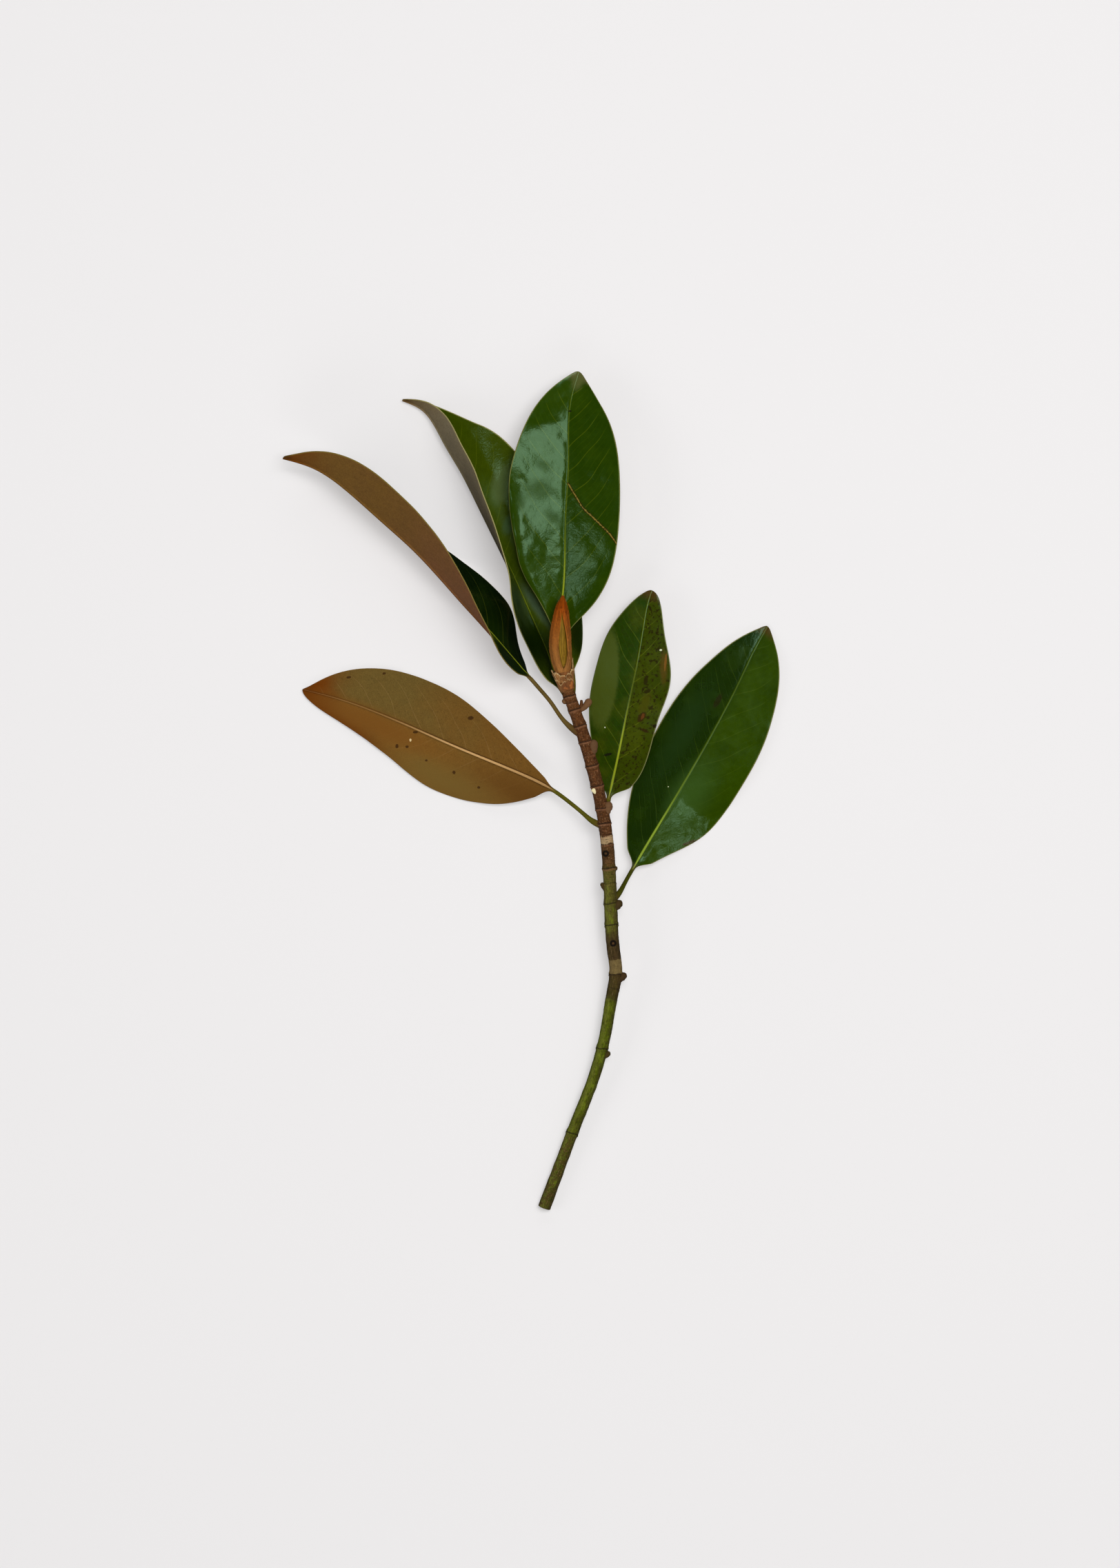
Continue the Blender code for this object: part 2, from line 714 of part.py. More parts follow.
def build_bud(twig_seat):
    """The furry sheath with its slit, the bud that shows through, and the collar of torn scale bases."""
    hollow = shrunk(SHEATH_PROFILE[1:-1], SHEATH_THICKNESS)
    furry = make_material("bud_sheath", (0.42, 0.16, 0.04), 0.8)
    sheath = add_object("bud_sheath", *bud_tube(SHEATH_PROFILE, SHEATH_ROWS), furry)
    combine(sheath, add_object("sheath hollow", *bud_tube(hollow, BUD_ROWS)), "DIFFERENCE")
    combine(sheath, add_object("sheath slit", *slit_cutter()), "DIFFERENCE")

    waxy = make_material("bud_heart", (0.26, 0.19, 0.04), 0.6)
    add_object("bud_heart", *bud_tube(shrunk(hollow, SEAT_GAP), BUD_ROWS), waxy)

    papery = make_material("bud_collar", (0.55, 0.42, 0.25), 0.8)
    collar = add_object("bud_collar", *bud_tube(COLLAR_PROFILE, COLLAR_ROWS), papery)
    seat = add_object("sheath seat", *bud_tube(SHEATH_PROFILE, SHEATH_ROWS, SEAT_GAP))
    combine(collar, seat, "DIFFERENCE")
    combine(collar, twig_seat, "DIFFERENCE")


def clear_scene():
    """Removes whatever the scene starts with."""
    for obj in list(bpy.data.objects):
        bpy.data.objects.remove(obj)


def main():
    clear_scene()
    build_twig("twig", make_material("twig", (0.09, 0.1, 0.02), 0.6))
    seat = build_twig("twig seat", None, grown=SEAT_GAP)
    for leaf in LEAVES:
        build_leaf(leaf, seat)
    build_bud(seat)


main()
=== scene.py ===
"""Magnolia leaf bunch, as it looks: a cut twig with six leathery leaves and a furry bud on a pale surface.

The lines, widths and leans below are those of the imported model's source. They are in millimetres, and MM
turns them into metres where the meshes are made. Every piece is a surface worked out on a fine grid, and
has the veins, crinkles, ring scars, torn scales and hairs that the model leaves out.

A grid's first direction runs along the piece, from the cut end towards the tip, and its second one runs
round it. What colours and patterns follow, such as the distance from the midrib or from the edge, is kept
with each place as an attribute of its name.
"""

import math
from dataclasses import dataclass

import bpy
import numpy as np
from mathutils import Matrix, Vector


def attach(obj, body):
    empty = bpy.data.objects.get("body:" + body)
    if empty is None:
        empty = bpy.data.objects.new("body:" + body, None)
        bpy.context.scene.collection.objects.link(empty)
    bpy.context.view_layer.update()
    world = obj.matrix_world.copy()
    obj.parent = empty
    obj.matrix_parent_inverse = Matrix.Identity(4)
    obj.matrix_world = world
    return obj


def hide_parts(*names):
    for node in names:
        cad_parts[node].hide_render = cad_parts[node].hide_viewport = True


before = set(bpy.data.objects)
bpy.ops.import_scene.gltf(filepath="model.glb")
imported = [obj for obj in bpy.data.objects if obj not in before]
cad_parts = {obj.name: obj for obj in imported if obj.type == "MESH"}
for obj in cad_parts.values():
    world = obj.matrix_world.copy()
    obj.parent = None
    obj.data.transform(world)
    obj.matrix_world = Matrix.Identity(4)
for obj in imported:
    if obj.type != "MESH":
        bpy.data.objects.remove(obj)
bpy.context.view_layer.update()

MM = 0.001
UPWARDS = np.array([0.0, 0.0, 1.0])
LINE_SAMPLES = 2400
NOISE_COLUMNS = 256

# A profile is read in steps of its length, and its corners are rounded over this many steps.
PROFILE_STEP = 0.005
PROFILE_ROUNDING = 12

# Blades: a wing's half-widths are given at the stations, as shares of the blade's length.
STATIONS = (0.04, 0.12, 0.25, 0.42, 0.60, 0.78, 0.92, 0.975)
HALF_THICKNESS = 0.3
EDGE_ROUNDING = 0.4
TIP_HALF_WIDTH = 0.3
BLADE_ROWS = 250
HALF_COLUMNS = 40
ROW_CROWDING = 0.55
COLUMN_CROWDING = 0.72
BLADE_BLEND = 9.0

# Petiole and midrib.
PETIOLE_ROWS = 34
PETIOLE_RADIUS = 1.1
PETIOLE_FOOT = 0.75
PETIOLE_FOOT_LENGTH = 8.0
FOOT_COLOUR_REACH = 4.0
RIB_RADIUS = 1.0
RIB_TIP_RADIUS = 0.35
RIB_TAPER = 0.8
RIB_DEPTH = 0.55
RIB_SINKS_BY = 0.05
RIB_FOOT = 1.6
CREASE_DEPTH = 0.08
CREASE_REACH = 2.4
RIDGE_HEIGHT = 0.24
RIDGE_REACH = 0.95

# Side veins leave the midrib at about 45 degrees and bend towards the tip near the edge.
VEIN_SPACING = 14.5
VEIN_SLOPE = 0.95
VEIN_SWEEP = 0.42
VEIN_WOBBLE = 0.13
VEIN_GROOVE = 0.03
VEIN_GROOVE_REACH = 0.7
QUILTING = 0.035
RIGHT_VEINS_LATER = 0.45

# Sizes of the noise that bends the veins, crinkles the blade and waves its edge. Both sides of the midrib
# start at this number of steps, because the noise is read from 0 on.
VEIN_WANDER_SIZE = 13
CRINKLE_SIZE = 9
FINE_CRINKLE_SIZE = 3.6
FINE_CRINKLE = 0.42
EDGE_WAVE_SIZE = 14
EDGE_WAVE = 0.35
NOISE_START = 20

# The twig's rows and sides, its swellings, its ring scars, its cut end and its side buds.
TWIG_ROWS = 820
TWIG_SIDES = 84
NODE_SWELLING = 0.35
NODE_SPREAD = 1.5
RING_DEPTH = 0.2
RING_REACH = 0.24
RING_LIP = 0.17
RING_LIP_REACH = 0.55
RING_LIP_BEHIND = 0.6
PALE_LIP_BEHIND = 0.8
RING_WAVE = 0.6
FAINT_RING = 0.45
BARK_RADIUS = 3.4
CUT_ROUNDING = 0.5
CUT_RINGS = (0.05, 0.2, 0.4, 0.6, 0.8, 0.95)
KNOB_ROOT = 1.5
KNOB_SLANT = 2.2
KNOB_SWELLS = (0.6, 1.0, 0.8)
LIMB_SIDES = 28
LIMB_ROUGHNESS = 0.1

# The bud's sheath, which is slit along its upper side.
SHEATH_ROWS = 170
SHEATH_COLUMNS = 110
SHEATH_WALL = 0.55

# Hairs, each with three places at its foot, three half-way and one at its point.
HAIRS = 13000
HAIR_PLACES = 7
HAIR_LENGTHS = (0.9, 2.2)
LEAST_HAIR = 0.7
HAIR_RADII = (0.035, 0.06)
HAIR_LIFTS = (0.1, 0.42)
HAIR_SPREAD = 0.22
FUR_SEED = 77

# The inner bud's grid, where it starts along the bud, its length and how far inside the sheath it lies.
HEART_ROWS = 140
HEART_SIDES = 72
HEART_FOOT = 12.5
HEART_LENGTH = 34.5
HEART_ROOM = 1.7

# The collar's core: its grid, its ends along the bud and how far inside the collar's outline it lies.
CORE_ROWS = 90
CORE_SIDES = 90
CORE_ENDS = (0.2, 12.0)
CORE_ROOM = 0.25

# Torn flakes of the collar: their grid, half their thickness and how wide their rounded edge is.
FLAKE_COLUMNS = 34
FLAKE_ROWS = 22
FLAKE_HALF = 0.16
FLAKE_EDGE = 0.12

# The surface is a wide square just below the bunch. The camera hangs straight above it. In metres.
FLOOR_REACH = 4.0
FLOOR_HEIGHT = -0.00005
CAMERA_PLACE = (0.01558, 0.00418, 3.0)
CAMERA_LENS = 125.0

TWIG_LINE = (
    (6.8, -229.2, 3.4), (15.0, -207.2, 4.4), (23.6, -184.3, 5.8), (34.2, -156.9, 8.0),
    (41.2, -129.5, 10.2), (44.3, -111.3, 11.8), (46.2, -98.4, 12.8), (45.1, -88.5, 13.6),
    (43.8, -72.6, 14.8), (43.3, -60.8, 15.7), (42.0, -34.7, 17.6), (39.9, -17.0, 18.8),
    (33.1, 14.4, 20.6), (26.5, 36.2, 21.7), (19.9, 54.6, 22.7),
)

# The twig's radius at shares of its length from the cut.
TWIG_RADII = (
    (0.0, 3.5), (0.12, 3.2), (0.38, 3.15), (0.44, 3.35), (0.47, 3.6), (0.62, 3.55), (0.88, 3.45),
    (1.0, 3.3),
)

# Where the rings of old bud scales swell the twig, and where fainter rings run, by their Y.
NODES_AT = (52.4, 45.0, 36.4, 27.6, 14.4, 3.4, -8.9, -17.2, -41.8, -61.0, -72.8, -100.2, -140.8, -187.6)
FAINT_RINGS_AT = (48.9, 20.2, -28.6, -24.0, -50.1, -107.9, -113.2)

BUD_LINE = (
    (19.9, 54.6, 22.7), (18.6, 59.6, 23.9), (16.9, 69.0, 26.0), (15.8, 78.4, 28.0), (15.8, 87.7, 29.5),
    (16.3, 97.1, 30.8), (17.2, 107.2, 32.0),
)

# Radius of the bud at a distance along its line.
SHEATH_PROFILE = (
    (9.5, 4.0), (12.0, 4.9), (16.0, 5.7), (23.0, 6.15), (31.0, 5.9), (40.0, 4.7), (48.0, 2.8),
    (53.5, 0.5),
)
COLLAR_PROFILE = ((0.4, 3.5), (2.5, 4.1), (5.0, 4.5), (8.0, 5.0), (11.5, 5.8))


def ink(red, green, blue):
    """A colour from its usual 0 to 255 numbers, as the linear light that shaders use."""
    shares = np.array([red, green, blue]) / 255
    linear = np.where(shares <= 0.04045, shares / 12.92, ((shares + 0.055) / 1.055) ** 2.4)
    return (*linear.tolist(), 1.0)


CREAM = ink(214, 190, 140)
WAXY_SHEEN = (0.56, 1.0, 0.63, 1.0)
FLOOR_COLOUR = (0.46, 0.452, 0.452, 1.0)
FLOOR_GLOW = (0.354, 0.347, 0.347, 1.0)
BROWN_SPOT = ink(58, 36, 14)
BLACK_SPOT = ink(22, 20, 10)
WHITE_SPECK = ink(205, 205, 170)


@dataclass
class Wing:
    """One half of a blade: its half-widths at the stations and its lean at shares of the blade's length.

    curl is the further lean of its edge. It grows with the share of the width to the given power. bow is
    another one, which grows as the square of that share.
    """

    halves: tuple
    lean: tuple
    curl: tuple = ((0.0, 0.0),)
    curl_power: float = 2.0
    bow: tuple = ((0.0, 0.0),)
    crinkle: float = 0.08
    upper: tuple = ink(38, 56, 1)
    lower: tuple = ink(98, 88, 66)


@dataclass
class Spot:
    """A mark or a patch of painted sheen or shadow on a leaf, seen from above: place, half-length,
    half-width, colour, turn, softness.
    """

    x: float
    y: float
    half_length: float
    half_width: float
    colour: tuple
    turn: float = 0.0
    soft: float = 0.2


@dataclass
class Leaf:
    """A leaf, with its petiole from the twig to the blade's base and its midrib from there to the tip.

    right is on +X when the tip points to +Y. ripple is the size in degrees, the number and the start of
    the waves that the lean has along the blade. Each side's colours blend with those of its patches, and
    lower ones are those of the felted side. rib_ends is the share of the length at which the rib's colour
    fades. spots and dull hold the values of a Spot each. dull ones lack shine and have no colour. crack is
    a healed scratch, and speckles says how dotted each half is.
    """

    name: str
    petiole: tuple
    midrib: tuple
    left: Wing
    right: Wing
    underside_up: bool = False
    ripple: tuple = (0.0, 1.0, 0.0)
    upper_patch: tuple = ink(56, 72, 4)
    lower_patch: tuple = ink(116, 102, 78)
    lower_tip: tuple = ink(104, 84, 54)
    rib: tuple = ink(132, 142, 30)
    rib_ends: float = 0.95
    vein_strength: float = 0.14
    lower_rib: tuple = ink(192, 152, 100)
    lower_base: tuple = ink(104, 94, 70)
    petiole_colour: tuple = ink(80, 76, 18)
    edge: tuple = ink(150, 148, 84)
    tip: tuple = ink(70, 46, 16)
    spots: tuple = ()
    dull: tuple = ()
    crack: tuple = ()
    speckles: tuple = (0.0, 0.0)
    seed: int = 1


LEAVES = (
    Leaf(
        name="leaf_crown",
        petiole=((21.6, 51.0, 20.5), (22.8, 57.5, 17.6), (22.6, 65.0, 17.2), (20.8, 72.5, 17.4)),
        midrib=(
            (17.4, 79.5, 18.2), (17.0, 107.2, 20.2), (18.6, 150.2, 21.3), (20.2, 181.0, 20.5),
            (21.5, 214.2, 17.8), (25.8, 230.3, 15.0),
        ),
        left=Wing(
            halves=(2.4, 8.8, 22.6, 30.0, 32.9, 25.4, 11.4, 4.6),
            lean=(
                (0.0, 17.0), (0.17, 17.5), (0.27, 15.0), (0.5, 15.0), (0.81, 13.5), (0.865, 5.5),
                (1.0, 0.0),
            ),
            curl=((0.0, 0.0), (0.2, -60.0), (0.5, -60.0), (0.6, 0.0)), curl_power=13.0,
            bow=((0.0, 0.0), (0.2, 4.0), (0.4, 5.0), (0.52, 0.0)), crinkle=0.2, upper=ink(36, 58, 2),
        ),
        right=Wing(
            halves=(3.7, 12.5, 24.3, 29.5, 28.9, 24.2, 13.6, 5.6),
            lean=((0.0, 12.0), (0.5, 10.0), (1.0, 4.0)), curl=((0.0, -6.0),), crinkle=0.14,
            upper=ink(31, 52, 1),
        ),
        ripple=(2.5, 3.0, 0.2), upper_patch=ink(42, 62, 2), rib_ends=0.45, vein_strength=0.19,
        tip=ink(100, 90, 58),
        spots=(
            (20.98, 208.4, 0.9, 0.5, BLACK_SPOT), (25.4, 225.0, 5.0, 3.0, ink(78, 84, 42), 70.0, 0.6),
        ),
        dull=(
            (6.3, 178.6, 4.4, 2.6, None, -30.0, 0.8), (4.0, 165.0, 6.6, 5.0, None, 0.0, 0.8),
            (-6.0, 158.0, 2.6, 4.4, None, 0.0, 0.8), (12.4, 150.0, 6.0, 2.6, None, -40.0, 0.8),
        ),
        crack=((20.1, 168.4), (28.0, 155.2), (36.0, 147.6), (42.8, 140.8), (46.5, 135.6)), seed=3,
    ),
    Leaf(
        name="leaf_back", petiole=((23.9, 48.3, 21.0), (20.6, 50.6, 17.0)),
        midrib=(
            (17.0, 54.8, 14.6), (9.2, 74.5, 13.6), (3.5, 87.8, 13.2), (-11.8, 122.2, 13.0),
            (-27.9, 155.0, 12.0), (-39.6, 177.8, 9.8), (-47.3, 190.8, 8.0), (-53.0, 201.6, 6.0),
            (-59.2, 209.8, 4.4), (-71.0, 215.8, 2.4),
        ),
        left=Wing(
            halves=(8.0, 19.0, 29.0, 34.0, 33.0, 25.0, 9.5, 3.2),
            lean=(
                (0.0, 50.0), (0.12, 61.0), (0.27, 74.5), (0.36, 84.0), (0.42, 87.5), (0.6, 96.0),
                (0.78, 106.0), (1.0, 124.0),
            ),
            curl=((0.0, 6.0),), upper=ink(20, 36, 2), lower=ink(128, 116, 90),
        ),
        right=Wing(
            halves=(9.5, 20.5, 29.5, 33.5, 34.0, 24.8, 5.6, 1.5),
            lean=((0.0, 2.0), (0.6, 6.0), (0.78, 15.0), (1.0, 22.0)), upper=ink(53, 67, 2),
        ),
        ripple=(2.0, 2.5, 0.0), upper_patch=ink(58, 70, 3), lower_patch=ink(142, 128, 98),
        lower_base=ink(116, 106, 82), edge=ink(182, 174, 108),
        spots=(
            # The next two are painted sheen, where the leaf mirrors light beside the crown leaf's edge.
            (-16.5, 168.5, 11.0, 5.5, ink(76, 92, 48), 80.0, 0.35),
            (-11.5, 147.5, 7.0, 3.6, ink(58, 78, 40), 60.0, 0.35),
            # A painted highlight along the midrib's right side.
            (2.3, 102.0, 13.0, 2.4, ink(62, 78, 54), -57.0, 0.6),
            # The last two are painted shadow on the leaf's base, beside and under the bud.
            (28.0, 86.0, 9.0, 15.0, ink(10, 22, 2), 0.0, 0.5),
            (1.0, 82.0, 9.0, 16.0, ink(10, 24, 2), 30.0, 0.6),
        ),
        seed=5,
    ),
    Leaf(
        name="leaf_far_left",
        petiole=(
            (25.6, 32.0, 21.5), (22.0, 34.7, 21.2), (16.7, 40.0, 20.5), (10.7, 48.7, 20.0),
            (5.4, 55.1, 20.0),
        ),
        midrib=(
            (0.1, 61.2, 20.4), (-14.2, 77.7, 23.6), (-24.3, 89.1, 25.6), (-37.6, 103.7, 27.0),
            (-64.6, 133.0, 28.5), (-81.0, 147.7, 28.6), (-100.2, 164.6, 27.0), (-118.6, 177.2, 22.5),
            (-136.0, 183.0, 17.0),
        ),
        left=Wing(
            halves=(8.5, 18.0, 26.0, 30.7, 30.5, 24.7, 11.0, 4.2),
            lean=(
                (0.0, 60.0), (0.09, 69.0), (0.2, 89.0), (0.33, 103.0), (0.6, 120.0), (0.76, 127.0),
                (0.87, 124.0), (1.0, 112.0),
            ),
            curl=((0.0, 6.0),), upper=ink(16, 30, 2), lower=ink(108, 78, 34),
        ),
        right=Wing(
            halves=(8.5, 18.0, 26.0, 30.7, 30.5, 24.7, 11.6, 4.8),
            lean=(
                (0.0, -76.0), (0.08, -66.0), (0.19, -39.0), (0.3, -50.0), (0.39, -61.0), (0.5, -72.0),
                (0.7, -80.0), (1.0, -82.0),
            ),
            upper=ink(8, 21, 1), lower=ink(108, 78, 36),
        ),
        ripple=(1.5, 2.0, 0.3), upper_patch=ink(20, 36, 4), lower_patch=ink(104, 74, 36),
        lower_base=ink(122, 80, 50), lower_tip=ink(104, 54, 2), lower_rib=ink(66, 34, 16),
        edge=ink(138, 126, 62), petiole_colour=ink(92, 74, 36), seed=7,
    ),
    Leaf(
        name="leaf_low_left",
        petiole=((38.6, -18.6, 18.8), (34.1, -16.6, 17.9), (28.4, -12.1, 15.5), (22.0, -6.8, 13.5)),
        midrib=(
            (12.9, 0.0, 11.2), (-7.1, 10.2, 10.8), (-44.2, 25.7, 10.0), (-64.6, 34.8, 9.2),
            (-82.5, 42.4, 7.8), (-105.7, 50.8, 4.6), (-126.0, 56.2, 1.6),
        ),
        left=Wing(
            halves=(6.3, 16.6, 25.3, 27.9, 21.6, 14.4, 8.4, 4.4),
            lean=((0.0, 15.0), (0.4, 16.0), (0.8, 14.0), (1.0, 4.0)), curl=((0.0, 12.0), (1.0, 6.0)),
            lower=ink(118, 84, 34),
        ),
        right=Wing(
            halves=(3.0, 8.2, 17.0, 25.8, 28.4, 23.0, 10.9, 3.4),
            lean=((0.0, 20.0), (0.4, 16.0), (0.8, 12.0), (1.0, 4.0)), curl=((0.0, 10.0), (1.0, 5.0)),
            lower=ink(98, 78, 36),
        ),
        underside_up=True, ripple=(2.0, 3.0, 0.4), lower_patch=ink(98, 80, 38),
        lower_base=ink(106, 74, 30), lower_tip=ink(102, 46, 0), tip=ink(80, 40, 4),
        edge=ink(132, 102, 50),
        spots=(
            (-33.6, 40.5, 1.5, 1.2, BROWN_SPOT), (-63.9, 32.6, 1.5, 0.7, BROWN_SPOT),
            (-66.6, 28.4, 0.6, 0.8, CREAM), (-68.5, 24.6, 1.0, 0.8, BROWN_SPOT),
            (-74.1, 25.0, 0.9, 1.2, BROWN_SPOT), (-100.7, 62.9, 1.4, 0.7, BROWN_SPOT),
            (-81.3, 65.1, 1.0, 0.7, BROWN_SPOT), (-57.9, 17.1, 0.8, 0.6, BROWN_SPOT),
            (-42.7, 10.6, 0.9, 1.1, BROWN_SPOT), (-29.1, 2.3, 0.8, 0.7, BROWN_SPOT),
            (-48.0, 6.0, 30.0, 8.0, ink(108, 84, 38), -26.0, 0.9),
            (-88.0, 38.0, 34.0, 7.0, ink(112, 72, 26), -24.0, 0.7),
            (-107.0, 39.0, 36.0, 7.0, ink(92, 42, 2), -38.0, 0.9),
            (2.0, -4.0, 30.0, 9.0, ink(92, 60, 22), -20.0, 0.9),
        ),
        seed=11,
    ),
    Leaf(
        name="leaf_mid_right", petiole=((38.2, -9.6, 18.6), (40.4, -9.2, 15.6)),
        midrib=(
            (42.2, -4.2, 13.6), (47.3, 18.9, 14.0), (52.2, 43.1, 15.0), (57.2, 67.3, 15.2),
            (61.7, 93.4, 13.6), (63.8, 104.0, 12.6), (65.9, 110.5, 12.0),
        ),
        left=Wing(
            halves=(6.2, 10.9, 16.2, 21.3, 21.7, 18.2, 9.0, 3.9),
            lean=((0.0, -4.0), (0.3, -2.0), (0.5, 3.0), (1.0, 1.0)), curl=((0.0, -6.0),),
            upper=ink(30, 50, 1),
        ),
        right=Wing(
            halves=(7.2, 13.2, 16.4, 17.9, 19.9, 13.3, 8.4, 5.2),
            lean=((0.0, 4.0), (0.5, 4.0), (1.0, 4.0)), curl=((0.0, -8.0),), upper=ink(46, 56, 2),
        ),
        ripple=(2.0, 3.5, 0.1), upper_patch=ink(62, 70, 6), rib_ends=0.5, vein_strength=0.2,
        edge=ink(150, 150, 100),
        spots=(
            (73.4, 71.0, 5.0, 0.7, ink(110, 70, 20), 84.0), (70.8, 77.6, 0.8, 0.5, WHITE_SPECK),
            (60.4, 40.9, 3.4, 1.9, ink(46, 30, 8), 50.0), (60.9, 41.2, 1.8, 0.8, ink(92, 50, 18), 70.0),
            (62.6, 61.0, 2.6, 1.2, ink(36, 30, 6), 80.0), (63.4, 55.0, 2.0, 1.1, ink(36, 30, 6), 20.0),
            (65.5, 46.0, 1.7, 0.7, ink(36, 30, 6), 50.0), (62.0, 33.5, 2.6, 0.9, ink(44, 30, 8), -20.0),
            (67.8, 35.9, 1.6, 1.1, ink(30, 20, 8)), (42.0, 20.4, 2.3, 0.8, BLACK_SPOT, 15.0),
            (40.2, 35.2, 0.35, 0.4, WHITE_SPECK), (39.6, 62.0, 29.0, 8.2, ink(64, 74, 20), 84.0, 0.15),
            (72.4, 68.0, 9.0, 2.0, ink(74, 58, 12), 90.0, 0.5),
            (62.0, 48.0, 7.0, 2.6, ink(62, 62, 4), 70.0, 0.5),
        ),
        speckles=(0.25, 1.0), seed=13,
    ),
    Leaf(
        name="leaf_low_right", petiole=((43.6, -60.0, 15.6), (47.2, -56.6, 14.6), (51.0, -50.4, 12.2)),
        midrib=(
            (55.3, -42.8, 9.6), (66.3, -24.2, 6.9), (76.2, -7.9, 5.7), (91.7, 18.6, 4.9),
            (106.9, 46.2, 4.4), (114.1, 60.3, 3.8), (121.4, 75.9, 2.7), (129.8, 91.1, 0.8),
        ),
        # The left wing's darker green is partly its own tone and partly painted shade, as it is lit less than
        # the right wing.
        left=Wing(
            halves=(6.4, 14.3, 23.1, 27.2, 27.0, 20.7, 9.8, 3.8),
            lean=((0.0, 0.0), (0.5, 1.0), (1.0, 4.0)), curl=((0.0, -4.0),), crinkle=0.06,
            upper=ink(18, 36, 0),
        ),
        right=Wing(
            halves=(6.4, 14.3, 25.6, 28.6, 28.3, 22.8, 13.4, 5.6),
            lean=((0.0, -11.0), (0.3, -13.0), (0.4, -3.0), (0.7, -1.0), (1.0, 2.0)),
            curl=((0.0, -3.0), (0.6, -3.0), (0.8, 2.0)), crinkle=0.18, upper=ink(41, 61, 0),
        ),
        ripple=(2.0, 3.0, 0.6), upper_patch=ink(29, 47, 0), vein_strength=0.07, rib_ends=0.52,
        rib=ink(126, 146, 44), petiole_colour=ink(58, 60, 10),
        spots=(
            (102.5, 50.0, 4.6, 1.6, ink(30, 30, 6), 60.0, 0.3),
            # Painted sheen on the left wing.
            (82.9, 32.6, 26.0, 7.0, ink(25, 45, 10), 60.0, 0.9),
            # Painted sheen that softly widens the mirrored light on the right wing.
            (88.0, -2.0, 17.0, 9.0, ink(50, 76, 24), 58.0, 0.9),
            (86.9, -28.1, 4.4, 0.9, BROWN_SPOT, 20.0), (75.1, 2.7, 0.3, 0.3, WHITE_SPECK),
        ),
        seed=17,
    ),
)


def natural_spline(knots, values, at):
    """The smooth curve through values at knots, read at the places asked for."""
    knots = np.asarray(knots, float)
    values = np.asarray(values, float)
    steps = np.diff(knots)
    slopes = np.diff(values, axis=0) / steps.reshape(-1, *[1] * (values.ndim - 1))
    count = len(knots)
    matrix = np.eye(count)
    target = np.zeros_like(values)
    for i in range(1, count - 1):
        matrix[i, i - 1 : i + 2] = steps[i - 1], 2 * (steps[i - 1] + steps[i]), steps[i]
        target[i] = 6 * (slopes[i] - slopes[i - 1])
    bends = np.linalg.solve(matrix, target)
    cell = np.clip(np.searchsorted(knots, at) - 1, 0, count - 2)
    extra = (slice(None),) + (None,) * (values.ndim - 1)
    length = steps[cell][extra]
    past = (np.asarray(at) - knots[cell])[extra]
    left = length - past
    return (
        (bends[cell] * left**3 + bends[cell + 1] * past**3) / (6 * length)
        + (values[cell] / length - bends[cell] * length / 6) * left
        + (values[cell + 1] / length - bends[cell + 1] * length / 6) * past
    )


def rounded_profile(pairs, at):
    """A value given at a few places between 0 and 1, with its corners rounded off."""
    fine = np.arange(0.0, 1.0 + PROFILE_STEP, PROFILE_STEP)
    kernel = np.hanning(2 * PROFILE_ROUNDING + 1)
    padded = np.pad(np.interp(fine, *zip(*pairs)), PROFILE_ROUNDING, mode="edge")
    return np.interp(at, fine, np.convolve(padded, kernel / kernel.sum(), mode="valid"))


def profile_radius(profile, at):
    """The radius that a profile of distances and radii has at a distance along its line."""
    knots, radii = zip(*profile)
    return natural_spline(knots, radii, np.clip(at, knots[0], knots[-1]))


def travelled(places):
    """How far each place lies from the first one, along straight steps."""
    return np.concatenate([[0.0], np.cumsum(np.linalg.norm(np.diff(places, axis=0), axis=1))])


class Curve:
    """The smooth curve through points. knots holds each point's distance along it."""

    def __init__(self, points):
        points = np.asarray(points, float)
        knots = travelled(points)
        fine = np.unique(np.concatenate([np.linspace(0.0, knots[-1], LINE_SAMPLES), knots]))
        self.places = natural_spline(knots, points, fine)
        self.distances = travelled(self.places)
        self.knots = np.interp(knots, fine, self.distances)
        self.length = self.distances[-1]

    def read(self, at):
        """Places and unit directions on the curve at the distances asked for."""
        ahead = np.gradient(self.places, self.distances, axis=0)
        found, direction = (
            np.stack([np.interp(at, self.distances, column) for column in values.T], axis=-1)
            for values in (self.places, ahead)
        )
        return found, direction / np.linalg.norm(direction, axis=-1, keepdims=True)

    def outwards(self, at, turn):
        """The curve's places and directions, and the directions outwards at turns round it, 0 being right."""
        centres, ahead = self.read(at)
        right, up = level_axes(ahead)
        return centres, ahead, right * np.cos(turn)[..., None] + up * np.sin(turn)[..., None]

    def distance_at(self, y):
        """The distance at which the curve passes a given Y."""
        order = np.argsort(self.places[:, 1])
        return np.interp(y, self.places[order, 1], self.distances[order])


TWIG = Curve(TWIG_LINE)
BUD = Curve(BUD_LINE)


def level_axes(ahead):
    """For each direction along a line, the level one to its right and the one above it."""
    right = np.cross(ahead, UPWARDS)
    right /= np.linalg.norm(right, axis=-1, keepdims=True)
    return right, np.cross(right, ahead)


def crowded(count, crowding):
    """Shares from 0 to 1 that lie closer together at both ends."""
    even = np.linspace(0.0, 1.0, count)
    return even + crowding * ((1 - np.cos(np.pi * even)) / 2 - even)


def smooth_step(value, low=0.0, high=1.0):
    """0 below low, 1 above high and a smooth rise between them."""
    share = np.clip((value - low) / (high - low), 0.0, 1.0)
    return share * share * (3 - 2 * share)


def hump(distance, reach):
    """1 at no distance, falling along half a cosine wave to 0 at reach."""
    return (1 + np.cos(np.pi * np.clip(np.abs(distance) / reach, 0.0, 1.0))) / 2


